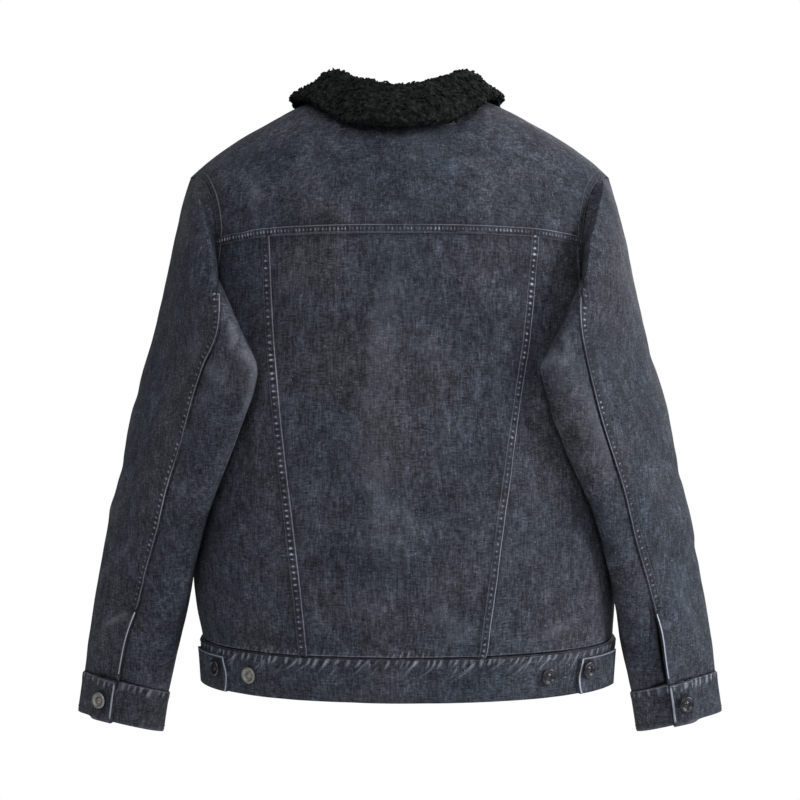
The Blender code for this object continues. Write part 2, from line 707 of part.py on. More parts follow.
def sleeve_turns(height, start, end, count, hand):
    """Turns at even distances along one row of the sleeve."""
    dense = steps(start, end, 48)
    points = [sleeve_point(height, turn, hand) for turn in dense]
    walked = [0.0]
    for before, after in zip(points, points[1:]):
        walked.append(walked[-1] + (after - before).length)
    turns = []
    for wanted in steps(0.0, walked[-1], count):
        index = 0
        while index < len(dense) - 2 and walked[index + 1] < wanted:
            index += 1
        part = (wanted - walked[index]) / max(walked[index + 1] - walked[index], 1e-9)
        turns.append(mix(dense[index], dense[index + 1], min(part, 1.0)))
    return turns


def seam_turn(height, hand):
    """Turn of the back seam, in degrees round the sleeve."""
    twist = SEAM_TWIST[hand] * ease((-0.235 - height) / 0.060)
    twist += CUFF_TWIST[hand] * ease((-0.520 - height) / 0.080)
    return read(SLEEVE_ROWS, height).seam + twist


def seam_lift(height, turn, hand, piece):
    """How far the cuff slit stands open beside the back seam."""
    opened = ease((-0.5150 - height) / 0.060) * SLIT_OPEN[hand]
    near = max(1.0 - abs(turn - seam_turn(height, hand)) / 38.0, 0.0) ** 2
    return opened * near * (1.0 if piece == "outer" else -1.2)


def rim_direction(hole, hand, normal):
    """Direction of the sleeve's wall at the armhole, kept outside the body's wall."""
    half = "back" if hole <= math.pi else "front"
    up = armhole_up(hole if half == "back" else 2 * math.pi - hole)
    across, inside = (0.0, STEP) if hand == "left" else (1.0, 1.0 - STEP)
    edge = (body_point(half, across, up) - body_point(half, inside, up)).normalized()
    tangent = (armhole_point(hole + 0.02, hand) - armhole_point(hole - 0.02, hand)).normalized()
    edge = (edge - tangent * edge.dot(tangent)).normalized()
    behind = -normal
    behind = behind - edge * min(behind.dot(edge) - 0.2, 0.0)
    return behind.normalized()


SLEEVE_LOW = steps(UNDERARM_Z, CUFF_TOP, 11)[1:]
SLEEVE_HIGH = [ARMHOLE_CENTRE_Z + ARMHOLE_HALF_Z * math.cos(turn) for turn in HALF_TURNS[2:]]
OUTER_COLUMNS = 16
UNDER_COLUMNS = 7
RIM_REACH = 0.020          # from the armhole, where the wall turns to its own direction
FELL_START = -0.210        # below this the back seam's band stands up
FELL_TURNS = 11.0          # the back seam's band, in degrees round the sleeve


def sleeve_wall_point(height, turn, hand, piece, proud, hole):
    """Outer and inner point of the sleeve's wall."""
    normal = sleeve_normal(height, turn, hand)
    lift = seam_lift(height, turn, hand, piece) + sleeve_fold(height, turn)
    base = sleeve_point(height, turn, hand) + normal * lift
    behind = -normal
    if hole is not None:
        side = hole if turn > 90.0 else 2 * math.pi - hole
        near = ease(1.0 - (base - armhole_point(side, hand)).length / RIM_REACH)
        behind = mix(behind, rim_direction(side, hand, normal), near).normalized()
    return base + normal * proud, base + behind * SLEEVE_WALL


def rim(hole, hand, height, turn):
    """Outer and inner point of the sleeve's wall at a sample of the armhole."""
    point = armhole_point(hole % (2 * math.pi), hand)
    behind = rim_direction(hole % (2 * math.pi), hand, sleeve_normal(height, turn, hand))
    return point, point + behind * SLEEVE_WALL


def rim_row(corners, count):
    """Points at even steps along the straight edges between armhole samples."""
    outer, inner = [], []
    for value in steps(0.0, len(corners) - 1, count):
        index = min(int(value), len(corners) - 2)
        part = value - index
        outer.append(mix(corners[index][0], corners[index + 1][0], part))
        inner.append(mix(corners[index][1], corners[index + 1][1], part))
    return outer, inner


def make_sleeves():
    heights = SLEEVE_HIGH + SLEEVE_LOW
    holes = HALF_TURNS[2:] + [None] * len(SLEEVE_LOW)
    last = INNER_TURN - 360
    seam_hole = HALF_TURNS[SEAM_SAMPLE]
    for hand in ("left", "right"):
        above = heights[0]
        outer, inner = [], []
        top = rim_row([rim(HALF_TURNS[1], hand, above, INNER_TURN),
                       rim(0.0, hand, above, 0.0),
                       rim(-HALF_TURNS[1], hand, above, last)], OUTER_COLUMNS + 2)
        outer.append(top[0])
        inner.append(top[1])
        for height, hole in zip(heights, holes):
            start = INNER_TURN
            turns = sleeve_turns(height, start, last, OUTER_COLUMNS + 2, hand)
            if hole is None or hole > seam_hole + 1e-6:
                start = seam_turn(height, hand)
                turns = [start, start - FELL_TURNS]
                turns += sleeve_turns(height, start - FELL_TURNS - 1.0, last, OUTER_COLUMNS, hand)
            outer_row, inner_row = [], []
            for column, turn in enumerate(turns):
                proud = FELL_RISE * ease((FELL_START - height) / 0.02) if column < 2 else 0.0
                if hole is not None and turn in (last, INNER_TURN):
                    face, back = rim(hole if turn == INNER_TURN else -hole, hand, height, turn)
                else:
                    face, back = sleeve_wall_point(height, turn, hand, "outer", proud, hole)
                outer_row.append(face)
                inner_row.append(back)
            outer.append(outer_row)
            inner.append(inner_row)
        finish(cloth("sleeve_outer_" + hand, outer, inner), "denim")

        first = SEAM_SAMPLE - 1
        corner = rim(seam_hole, hand, heights[first - 1], INNER_TURN)
        below = rim(HALF_TURNS[SEAM_SAMPLE + 1], hand, heights[first], INNER_TURN)
        middle = [mix(corner[0], below[0], 0.5), mix(corner[1], below[1], 0.5)]
        top = rim_row([middle, corner], UNDER_COLUMNS)
        outer, inner = [top[0]], [top[1]]
        for height, hole in list(zip(heights, holes))[first:]:
            outer_row, inner_row = [], []
            for turn in sleeve_turns(height, INNER_TURN, seam_turn(height, hand), UNDER_COLUMNS, hand):
                if hole is not None and turn == INNER_TURN:
                    face, back = rim(hole, hand, height, turn)
                else:
                    face, back = sleeve_wall_point(height, turn, hand, "under", 0.0, hole)
                outer_row.append(face)
                inner_row.append(back)
            outer.append(outer_row)
            inner.append(inner_row)
        finish(cloth("sleeve_under_" + hand, outer, inner), "denim")


def cuff_point(height, turn, hand):
    """Point and normal of a cuff's section; the turn is in degrees."""
    centre, long_way, deep_way = sleeve_axes(height)
    angle = math.radians(turn)
    away = long_way * math.cos(angle) + deep_way * math.sin(angle)
    round_ = deep_way * math.cos(angle) - long_way * math.sin(angle)
    slope = sleeve_axes(CUFF_END)[0] - sleeve_axes(CUFF_TOP)[0]
    normal = facing(round_, slope, away)
    return mirrored(centre + away, hand), mirrored(normal, hand)


CUFF_LAP = 22.0            # degrees that the cuff's ends overlap
CUFF_RAMP = 16.0           # degrees over which the cuff climbs onto its own end
CUFF_BUTTON = 15.0         # degrees from the lapped end to the button


def make_cuffs():
    top, end = CUFF_TOP - LAY_GAP, CUFF_END
    for hand in ("left", "right"):
        seam = seam_turn(CUFF_TOP, hand)
        rest = seam - CUFF_LAP
        turns = steps(seam, rest, 3) + [rest - CUFF_RAMP / 2]
        turns += steps(rest - CUFF_RAMP, seam - 360 - CUFF_LAP, 22)
        outer, inner = [], []
        for height in (top, mix(top, end, 0.08), mix(top, end, 0.5), mix(top, end, 0.92), end):
            edge = EDGE_EASE if height in (top, end) else 0.0
            outer_row, inner_row = [], []
            for turn in turns:
                point, normal = cuff_point(height, turn, hand)
                lift = (BAND_WALL + LAP_GAP) * ease((turn - rest + CUFF_RAMP) / CUFF_RAMP)
                outer_row.append(point + normal * (BAND_PROUD - edge + lift))
                inner_row.append(point + normal * (BAND_PROUD - BAND_WALL + lift))
            outer.append(outer_row)
            inner.append(inner_row)
        finish(cloth("cuff_" + hand, outer, inner, ()), "denim")


# ---------------------------------------------------------------- collar


def neck_samples(yoke_columns, front_columns):
    """Neck seam points from the left front round the back to the right front."""
    points = []
    left = front_columns["left"]
    edge = across_at("front", FRONT_EDGE_X, 1.0)
    for part in reversed(left):
        across = part * edge
        if body_point("front", across, 1.0).x < NECK_SHARE - 1e-5:
            points.append(body_place("front", across, 2.0))
    for across in yoke_columns:
        if abs(body_point("back", across, 1.0).x) < NECK_SHARE + 1e-5:
            points.append(body_place("back", across, 2.0))
    for part in front_columns["right"]:
        across = 1.0 - part * (1.0 - edge)
        x = body_point("front", across, 1.0).x
        if -NECK_SHARE + 1e-5 < x < -FRONT_EDGE_X + 0.004:
            points.append(body_place("front", across, 2.0))
    return points


def cover_tree():
    """Search tree of the outer faces that the collar lies on."""
    points, faces = [], []
    for grid in COVER:
        first, columns = len(points), len(grid[0])
        points += [point for row in grid for point in row]
        for row in range(len(grid) - 1):
            for column in range(columns - 1):
                corner = first + row * columns + column
                faces.append((corner, corner + 1, corner + columns + 1, corner + columns))
    return BVHTree.FromPolygons(points, faces)


def raised(point, tree, clearance):
    """Lift a point until it is the wanted distance above the body."""
    down = Vector((0.0, 0.0, -1.0))
    hit, normal, _, _ = tree.ray_cast(Vector((point.x, point.y, 0.5)), down)
    if hit is None:
        return point
    height = hit.z + clearance / max(abs(normal.z), 0.35)
    return Vector((point.x, point.y, max(point.z, height)))


def collar_path(base, tree):
    """Middle line of the collar at one neck point: stand, fold and leaf."""
    outwards = Vector((base.x, base.y - NECK_CENTRE_Y, 0.0))
    turn = math.degrees(math.atan2(abs(outwards.x), outwards.y))
    outwards.normalize()
    row = read(COLLAR_ROWS, turn)
    tight = COLLAR_TIGHT * hill(turn - 90.0, COLLAR_TIGHT_TURN) if base.x < 0.0 else 0.0
    half = COLLAR_WALL / 2
    up = Vector((0.0, 0.0, 1.0))
    flat = Vector((base.x, base.y, 0.0))
    foot = base - outwards * (half + COLLAR_INSET) + up * (SEAM_GAP + BUTTON_GAP)
    level = max(row.top - half - row.bend, foot.z + 0.005)
    path = [foot]
    for angle in steps(math.pi, 0.0, 4):
        out = row.bend * (1.0 + math.cos(angle)) - half - COLLAR_INSET
        path.append(flat + outwards * out + up * (level + row.bend * math.sin(angle)))
    lift = raised(path[-1], tree, half + COLLAR_REST).z - path[-1].z
    path[1:] = [point + up * lift for point in path[1:]]
    edge = flat + outwards * (row.edge_out - tight) + up * row.edge_z
    middle = (path[-1] + edge) / 2 + (outwards + up * 0.5) * 0.003
    path.append(raised(middle, tree, half + COLLAR_REST))
    path.append(raised(edge, tree, half * COLLAR_EDGE + COLLAR_REST))
    return path, outwards


def smooth_line(points, count):
    """Points along a smooth curve through the given ones."""
    last = len(points) - 1
    line = []
    for value in steps(0.0, last, count):
        index = min(int(value), last - 1)
        part = value - index
        before, after = points[max(index - 1, 0)], points[min(index + 2, last)]
        start, end = points[index], points[index + 1]
        line.append(0.5 * (2 * start + (end - before) * part
                           + (2 * before - 5 * start + 4 * end - after) * part ** 2
                           + (3 * start - before - 3 * end + after) * part ** 3))
    return line


def collar_bases(points):
    """Neck seam points with the long stretches between them shared out."""
    bases = [points[0]]
    for start, end in zip(points, points[1:]):
        count = max(round((end - start).length / COLLAR_PITCH), 1)
        bases += [mix(start, end, part) for part in steps(0.0, 1.0, count)[1:]]
    return bases


def make_collar(points):
    tree = cover_tree()
    count = 11
    lines = []
    for base in collar_bases(points):
        path, outwards = collar_path(base, tree)
        lines.append((smooth_line(path, count), outwards))
    outer, inner = [], []
    for row in range(count + 1):
        outer_row, inner_row = [], []
        for line, outwards in lines:
            here = line[row]
            along = line[min(row + 1, count)] - line[max(row - 1, 0)]
            side = outwards.cross(Vector((0.0, 0.0, 1.0)))
            normal = along.cross(side).normalized()
            half = COLLAR_WALL / 2 * (COLLAR_EDGE if row == count else 1.0)
            if row == 0:
                normal = outwards
            outer_row.append(here + normal * half)
            inner_row.append(here - normal * half)
        outer.append(outer_row)
        inner.append(inner_row)
    finish(cloth("collar", outer, inner, ()), "curly_pile")


# ---------------------------------------------------------------- buttons


def make_button(name, point, normal):
    """Shank button turned about its own axis and set on a surface."""
    profile = bpy.data.meshes.new(name)
    points = [(radius, 0.0, height) for radius, height in BUTTON_PROFILE]
    profile.from_pydata(points, [(index, index + 1) for index in range(len(points) - 1)], [])
    button = bpy.data.objects.new(name, profile)
    turn = button.modifiers.new("turned", "SCREW")
    turn.steps = turn.render_steps = BUTTON_STEPS
    turn.use_merge_vertices = True
    turn.merge_threshold = 0.0001
    turn.use_normal_calculate = True
    button.location = point + normal * BUTTON_GAP
    button.rotation_euler = normal.to_track_quat("Z", "Y").to_euler()
    finish(button, "gunmetal")


def front_up(height):
    """Place up the body where the centre front lies at a given height."""
    low, high = 0.0, 2.0
    for _ in range(40):
        middle = (low + high) / 2
        if body_point("front", 0.5, middle).z < height:
            low = middle
        else:
            high = middle
    return (low + high) / 2


def make_buttons():
    strip = STRIP_WALL + LAP_GAP
    for number, height in enumerate(steps(FRONT_BUTTON_Z[0], FRONT_BUTTON_Z[1], FRONT_BUTTONS - 1)):
        up = front_up(height)
        across = across_at("front", 0.0, min(up, 1.0))
        make_button("front_button_%d" % (number + 1),
                    body_place("front", across, up, strip), body_normal("front", across, up))
    middle = mix(HEM_Z, WAIST_Z, 0.5)
    lapped = BAND_PROUD + BAND_WALL + LAP_GAP
    turn = -band_turn(0.0, middle)
    make_button("waist_button", band_place(turn, middle, lapped), band_normal(turn, middle))
    on_tab = BAND_PROUD + LAY_GAP + STRIP_WALL
    for name, places, out in (("tab_button_", TAB_BUTTONS, on_tab),
                              ("hem_button_", HEM_BUTTONS, BAND_PROUD)):
        for side, (x, above) in places.items():
            height = HEM_Z + above
            turn = band_turn(x, height)
            make_button(name + side, band_place(turn, height, out), band_normal(turn, height))
    for hand in ("left", "right"):
        seam = seam_turn(CUFF_TOP, hand)
        point, normal = cuff_point(mix(CUFF_TOP, CUFF_END, 0.5), seam - CUFF_BUTTON, hand)
        make_button("cuff_button_" + hand, point + normal * lapped, normal)


# ---------------------------------------------------------------- objects and finishes

Finish = namedtuple("Finish", "colour roughness metallic")
FINISHES = {
    "denim": Finish((0.045, 0.048, 0.060), 0.90, 0.0),
    "curly_pile": Finish((0.010, 0.011, 0.010), 1.00, 0.0),
    "gunmetal": Finish((0.090, 0.090, 0.095), 0.35, 1.0),
}


def add_object(name, mesh):
    data = bpy.data.meshes.new(name)
    mesh.to_mesh(data)
    mesh.free()
    return bpy.data.objects.new(name, data)


def finish(piece, kind):
    """Link a piece to the jacket and give it a finish of its own."""
    values = FINISHES[kind]
    material = bpy.data.materials.new(piece.name + "_" + kind)
    material.use_nodes = True
    shader = material.node_tree.nodes["Principled BSDF"]
    shader.inputs["Base Color"].default_value = (*values.colour, 1.0)
    shader.inputs["Roughness"].default_value = values.roughness
    shader.inputs["Metallic"].default_value = values.metallic
    material.diffuse_color = (*values.colour, 1.0)
    piece.data.materials.append(material)
    JACKET.objects.link(piece)


def main():
    yoke_columns = make_back()
    front_columns = make_fronts(yoke_columns)
    make_waistband()
    make_tabs()
    make_sleeves()
    make_cuffs()
    make_collar(neck_samples(yoke_columns, front_columns))
    make_buttons()


for old in list(bpy.data.objects):
    bpy.data.objects.remove(old, do_unlink=True)
JACKET = bpy.data.collections.new("sherpa_lined_jacket")
bpy.context.scene.collection.children.link(JACKET)
main()
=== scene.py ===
"""Sherpa lined denim jacket: its cloth, seams, sewing, pile and buttons.

Lengths are in metres.  The wearer's front faces -Y, the back +Y and the wearer's left is +X.
"""
import math
import random
from collections import namedtuple
from itertools import accumulate

import bmesh
import bpy
import numpy as np
from mathutils import Matrix, Vector, noise
from mathutils.bvhtree import BVHTree
from mathutils.kdtree import KDTree


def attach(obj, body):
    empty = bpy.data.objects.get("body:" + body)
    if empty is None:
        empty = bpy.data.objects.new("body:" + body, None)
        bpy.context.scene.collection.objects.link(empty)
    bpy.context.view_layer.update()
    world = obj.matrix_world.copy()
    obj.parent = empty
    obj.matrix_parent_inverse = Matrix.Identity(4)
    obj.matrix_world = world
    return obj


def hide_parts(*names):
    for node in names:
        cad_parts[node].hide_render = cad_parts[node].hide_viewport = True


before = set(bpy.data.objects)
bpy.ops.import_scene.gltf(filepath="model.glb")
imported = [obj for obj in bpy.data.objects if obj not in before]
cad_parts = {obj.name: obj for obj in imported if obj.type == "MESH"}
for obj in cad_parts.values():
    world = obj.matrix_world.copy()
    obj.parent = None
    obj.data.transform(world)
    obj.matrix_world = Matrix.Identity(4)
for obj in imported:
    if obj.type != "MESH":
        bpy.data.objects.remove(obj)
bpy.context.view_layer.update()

MM = 0.001
SEED = 41
noise.seed_set(SEED)        # without it each run would bend the curls another way

# ------------------------------------------------------------------ real sizes
FELL_WIDTH = 10.5 * MM      # flat-felled seam
FELL_HEIGHT = 0.75 * MM     # its top over the cloth
ROW_INSET = 2.0 * MM        # stitch rows, from the edges of a felled seam
BAND_INSET = 2.2 * MM       # stitch row, from the seam of the waistband or a cuff
HEM_INSET = 6.0 * MM        # and from its lower edge
STITCH_PITCH = 3.3 * MM     # about eight stitches to the inch
STITCH_LENGTH = 2.5 * MM
STITCH_TILT = 0.10          # largest slant of a stitch, in radians
THREAD = 0.42 * MM          # half thickness of the topstitching thread
GATHER_WIDTH = 26.0 * MM    # reach of the longest puckers below the waist seam
CUFF_GATHER = 12.0 * MM     # and below the cuff seams
CLOTH_DEPTH = 2.2 * MM      # least thickness of denim and pile together
WAVE_DEPTH = 0.9 * MM       # of the slight unevenness of washed cloth
DITCH_REACH = 20.0 * MM     # the painted shade beside a seam ends at this distance
RUBBED_FROM = 25.0          # bend of a fold, over a metre, from which it is rubbed
RUBBED_MOST = 110.0         # and at which it is rubbed most
CURL = 1.70 * MM            # radius of one curl of the pile
CURLS = 4100                # as many as cover the collar

# Heights that tell the rims of the sewn pieces apart.
SLIT_TOP = -0.522           # each sleeve is slit above its cuff from here
SLIT_END = -0.5942          # to here
BAND_TOP = -0.5600          # the waistband's upper rim lies above this
BAND_FOOT = -0.5990         # and its lower rim below this
TAB_TOP = -0.5665           # the waist tabs' upper rims lie above this
ARMHOLE_MIDDLE = -0.165
FIT_START = -0.24           # the sleeves, cuffs and bands start to follow their walls' points
FIT_FULL = -0.30            # here, and follow them closely below this

# Middles that the outer sides face away from: the body's lies under its shoulders, and a
# sleeve's runs from the shoulder to the cuff, here on the wearer's left.
BODY_MIDDLE = -0.16
SLEEVE_START = Vector((0.205, 0.0, -0.14))
SLEEVE_END = Vector((0.300, 0.012, -0.65))

# ------------------------------------------------------------------ fineness of the meshes
SHELL_LEVELS = 3            # subdivision of the denim pieces
COLLAR_LEVELS = 2
FIT_LEVELS = 2              # subdivision at which smooth cloth is fitted to its wall's points
FIT_STEPS = 3               # rounds of that
INNER_KEPT = 0.14           # share of the inner side's triangles that is kept
SLEEVE_INNER_KEPT = 0.40    # the sleeves fold more tightly
LINE_STEP = 1.2 * MM        # spacing of the points along a seam
BAND_STEP = 1.6 * MM        # and along the edge of a band

BACK_PANELS = ("back_side_left", "back_panel", "back_side_right")
BACK = BACK_PANELS + ("back_yoke",)
FRONTS = ("front_left", "front_right")
BODY = BACK + FRONTS
BANDS = ("waistband", "button_strip")
SIDES = {"left": 1, "right": -1}    # and the sign of x there
UP, DOWN = Vector((0, 0, 1)), Vector((0, 0, -1))

# Felled seams: where the band starts beside the seam line, the pitch of its puckers,
# how light the puckers, the near edge and the far edge are worn, how much lighter the
# puckers get towards the line's end, and how dark the painted shade beside it is.
Fell = namedtuple("Fell", "start pitch dots near far swell dark")
FELLS = {
    "yoke": Fell(-2.5 * MM, 3.9 * MM, 0.95, 0.12, 0.20, 0.0, 0.95),
    "back_left": Fell(-4.6 * MM, 6.3 * MM, 1.08, 0.42, 0.12, -0.35, 0.95),
    "back_right": Fell(-5.2 * MM, 6.3 * MM, 0.90, 0.40, 0.22, 0.45, 0.80),
    "sleeve": Fell(0.0, 6.3 * MM, 0.78, 0.42, 0.10, 0.0, 0.70),
    # The armholes' puckers and edges are kept dim, the right one most, as painted shade beside the
    # sleeves.
    "armhole_left": Fell(0.0, 6.3 * MM, 0.22, 0.22, 0.20, 0.0, 0.80),
    "armhole_right": Fell(0.0, 6.3 * MM, 0.08, 0.10, 0.10, 0.0, 0.55),
    "shoulder": Fell(0.0, 6.3 * MM, 0.45, 0.35, 0.15, 0.0, 0.30),
}

# Flat size of each piece as it was cut (width, length), and the cut's area.
Cut = namedtuple("Cut", "width length area")

# Soft folds, by the side they are seen from, in millimetres: both ends across and up, half
# width and depth.  Across is x on the back and the front, and y on the two sides.
Crease = namedtuple("Crease", "across_a up_a across_b up_b width depth")
CREASES = {
    "back": (
        Crease(176, -62, 163, -126, 12.0, -3.0),
        Crease(150, -70, 146, -122, 10.0, 1.4),
        Crease(-170, -60, -160, -125, 11.0, -2.6),
        Crease(32, -170, 60, -300, 20.0, -2.2),
        Crease(8, -160, 24, -290, 17.0, 2.0),
        Crease(-52, -150, -66, -240, 19.0, -2.0),
        Crease(-6, -385, -18, -440, 7.0, 1.8),
        Crease(-14, -375, -32, -450, 9.0, -1.8),
        Crease(30, -360, 12, -420, 14.0, 2.2),
        Crease(75, -470, 30, -545, 13.0, -1.8),
        Crease(-60, -380, -98, -352, 8.0, -1.6),
        Crease(-35, -500, -75, -552, 11.0, 1.8),
        Crease(138, -300, 146, -375, 7.0, 2.0),
        Crease(158, -330, 150, -470, 12.0, -2.6),
        Crease(175, -440, 140, -520, 9.0, 1.8),
        Crease(190, -480, 130, -552, 10.0, -2.0),
        Crease(-138, -280, -150, -430, 13.0, -2.8),
        Crease(-190, -505, -135, -528, 6.0, -1.8),
        Crease(-195, -520, -140, -546, 6.5, 1.8),
        Crease(-128, -490, -100, -548, 9.0, -1.8),
        Crease(262, -170, 283, -300, 12.0, 2.0),
        Crease(243, -150, 258, -260, 10.0, -2.0),
        Crease(214, -235, 172, -285, 11.0, 2.2),
        Crease(232, -340, 290, -372, 9.0, -2.0),
        Crease(236, -425, 296, -452, 8.0, -1.8),
        Crease(262, -492, 312, -507, 6.0, -2.0),
        Crease(272, -520, 322, -548, 6.0, 1.8),
        Crease(246, -560, 290, -590, 7.0, -1.6),
        Crease(-222, -190, -262, -330, 15.0, -2.0),
        Crease(-186, -275, -232, -385, 10.0, 2.0),
        Crease(-240, -372, -302, -352, 9.0, -2.0),
        Crease(-262, -470, -312, -448, 8.0, -1.8),
        Crease(-252, -512, -292, -530, 6.0, -2.0),
        Crease(-300, -500, -330, -560, 8.0, 1.6),
    ),
    "front": (
        Crease(150, -60, 166, -170, 13.0, -2.6),
        Crease(-154, -70, -160, -185, 12.0, -2.6),
        Crease(100, -200, 60, -330, 18.0, -2.2),
        Crease(-80, -170, -110, -300, 18.0, 2.0),
        Crease(40, -380, 110, -520, 14.0, -2.2),
        Crease(-50, -400, -125, -480, 12.0, -2.2),
        Crease(-160, -470, -90, -540, 10.0, 1.8),
        Crease(160, -480, 100, -545, 10.0, -1.8),
        Crease(205, -300, 262, -332, 11.0, -2.8),
        Crease(216, -372, 276, -392, 10.0, -2.4),
        Crease(236, -440, 296, -428, 9.0, 2.0),
        Crease(-202, -312, -266, -330, 11.0, -2.6),
        Crease(-222, -398, -286, -380, 10.0, -2.4),
        Crease(-246, -470, -306, -486, 9.0, -1.8),
    ),
    "left": (
        Crease(30, -250, -50, -300, 12.0, -2.0),
        Crease(40, -360, -40, -375, 10.0, -2.2),
        Crease(30, -430, -50, -405, 10.0, 1.8),
    ),
    "right": (
        Crease(30, -270, -50, -240, 12.0, -2.0),
        Crease(40, -350, -45, -385, 10.0, -2.4),
        Crease(35, -470, -40, -455, 9.0, -1.8),
    ),
}
# Where each side is seen from, and which coordinate runs across it.
SEEN_FROM = {
    "back": ((0, 1, 0), 0),
    "front": ((0, -1, 0), 0),
    "left": ((1, 0, 0), 1),
    "right": ((-1, 0, 0), 1),
}


def mix(start, end, part):
    return start + (end - start) * part


def smoothstep(low, high, value):
    part = np.clip((value - low) / (high - low), 0.0, 1.0)
    return part * part * (3.0 - 2.0 * part)


def kd_tree(points):
    tree = KDTree(len(points))
    for number, point in enumerate(points):
        tree.insert(point, number)
    tree.balance()
    return tree


def walked(points):
    """Distance along a line at each of its points."""
    return np.concatenate(([0.0], np.cumsum(np.linalg.norm(np.diff(points, axis=0), axis=1))))


def always(direction):
    """The same direction at every point."""
    return lambda point: direction


def finished(name, mesh):
    """A bmesh as mesh data."""
    data = bpy.data.meshes.new(name)
    mesh.to_mesh(data)
    mesh.free()
    return data


def shown(name, data):
    """An object in the scene that holds the data."""
    holder = bpy.data.objects.new(name, data)
    bpy.context.scene.collection.objects.link(holder)
    return holder


# ------------------------------------------------------------------ materials


def linear(hex_colour):
    """sRGB hex colour as linear red, green, blue and alpha."""
    channels = [int(hex_colour[start:start + 2], 16) / 255 for start in (1, 3, 5)]
    return tuple(c / 12.92 if c <= 0.04045 else ((c + 0.055) / 1.055) ** 2.4
                 for c in channels) + (1.0,)


def fill(owner, node, **links):
    """Fills sockets, by name or as i and a number, with values, sockets or nodes' first outputs."""
    for name, value in links.items():
        socket = node.inputs[int(name[1:]) if name[1:].isdigit() else name.replace("_", " ")]
        if isinstance(value, bpy.types.Node):
            value = value.outputs[0]
        if isinstance(value, bpy.types.NodeSocket):
            owner.node_tree.links.new(value, socket)
        else:
            socket.default_value = value


def add(owner, kind, settings=None, stops=(), **links):
    """Adds a node with its settings and its (position, hex colour) stops, its sockets filled."""
    node = owner.node_tree.nodes.new("ShaderNode" + kind)
    for name, value in (settings or {}).items():
        setattr(node, name, value)
    if stops:
        elements = node.color_ramp.elements
        while len(elements) < len(stops):
            elements.new(0.5)
        for element, (position, colour) in zip(elements, stops):
            element.position = position
            element.color = linear(colour)
    fill(owner, node, **links)
    return node


MULTIPLY = {"data_type": "RGBA", "blend_type": "MULTIPLY"}
COVER = {"data_type": "RGBA", "blend_type": "MIX"}

# Cells of each pattern to a metre.
DYE_CLOUDS = 9              # 110 mm wide
DYE_PATCHES = 27            # 37 mm
DYE_MOTTLE = 78             # 11 mm wide and 18 mm tall
LINT = 620                  # 1.6 mm
PILE_LUMPS = 230            # 4.3 mm
PILE_FIBRES = 900           # 1.1 mm
ANTIQUING = 1500            # 0.7 mm
# Warp and weft are bundles 1.6 to 1.8 mm thick with slubs 6 to 11 mm long, because single
# yarns are too fine to show.
WARP = (560, 560, 90)
WEFT = (160, 160, 620)


def new_material(name, **values):
    """A material, and its shader with those values."""
    material = bpy.data.materials.new(name)
    material.use_nodes = True
    shader = material.node_tree.nodes["Principled BSDF"]
    fill(material, shader, **values)
    return material, shader


def washed_denim():
    """Black denim, sulphur dyed, stone washed: matt, mottled grey-blue with pale worn ridges and
    painted shade.
    """
    material, shader = new_material("washed_black_denim", Roughness=0.9, Specular_IOR_Level=0.15)
    place = add(material, "TexCoord").outputs["Object"]
    cloud = add(material, "TexNoise", Vector=place, Scale=DYE_CLOUDS, Detail=3, Roughness=0.55)
    patch = add(material, "TexNoise", Vector=place, Scale=DYE_PATCHES, Detail=3, Roughness=0.6)
    tall = add(material, "Mapping", Vector=place, Scale=(1.2, 1.2, 0.7))
    mottle = add(material, "TexNoise", Vector=tall, Scale=DYE_MOTTLE, Detail=5, Roughness=0.72)
    colour = add(material, "ValToRGB", Fac=cloud,
                 stops=((0.34, "#505968"), (0.50, "#585e6b"), (0.66, "#5e5f69")))
    for speck, low, middle in ((patch, "#cccccc", "#e0e0e0"), (mottle, "#acacac", "#d0d0d0")):
        tone = add(material, "ValToRGB", Fac=speck,
                   stops=((0.32, low), (0.50, middle), (0.68, "#ffffff")))
        colour = add(material, "Mix", MULTIPLY, i0=1.0, i6=colour, i7=tone).outputs[2]
    yarns = []
    for cells in (WEFT, WARP):
        long = add(material, "Mapping", Vector=place, Scale=cells)
        yarns.append(add(material, "TexNoise", Vector=long, Scale=1, Detail=3, Roughness=0.65))
    grain = add(material, "Math", {"operation": "ADD"}, i0=yarns[0], i1=yarns[1])
    grain = add(material, "MapRange", Value=grain, i1=0.62, i2=1.38, i3=0.0, i4=1.0)
    streak = add(material, "ValToRGB", Fac=grain,
                 stops=((0.15, "#68686a"), (0.50, "#b6b6b8"), (0.85, "#ffffff")))
    colour = add(material, "Mix", MULTIPLY, i0=1.0, i6=colour, i7=streak).outputs[2]
    lint = add(material, "TexNoise", Vector=place, Scale=LINT, Detail=2, Roughness=0.5)
    wear_and_shade = add(material, "Attribute", {"attribute_name": "wear_and_shade"}).outputs["Fac"]
    # Lint and worn cloth lighten the colour; below zero the same attribute darkens it with painted
    # shade.
    for amount, start, end, most, overlay_colour in ((lint, 0.64, 0.78, 0.34, "#9a9ca4"),
                                          (wear_and_shade, 0.0, 1.3, 0.95, "#b0b6c4"),
                                          (wear_and_shade, 0.0, -1.0, 0.90, "#141519")):
        share = add(material, "MapRange", Value=amount, i1=start, i2=end, i3=0.0, i4=most)
        colour = add(material, "Mix", COVER, i0=share, i6=colour, i7=linear(overlay_colour)).outputs[2]
    bump = add(material, "Bump", Height=grain, Strength=0.5, Distance=0.5 * MM)
    fill(material, shader, Base_Color=colour, Normal=bump)
    return material


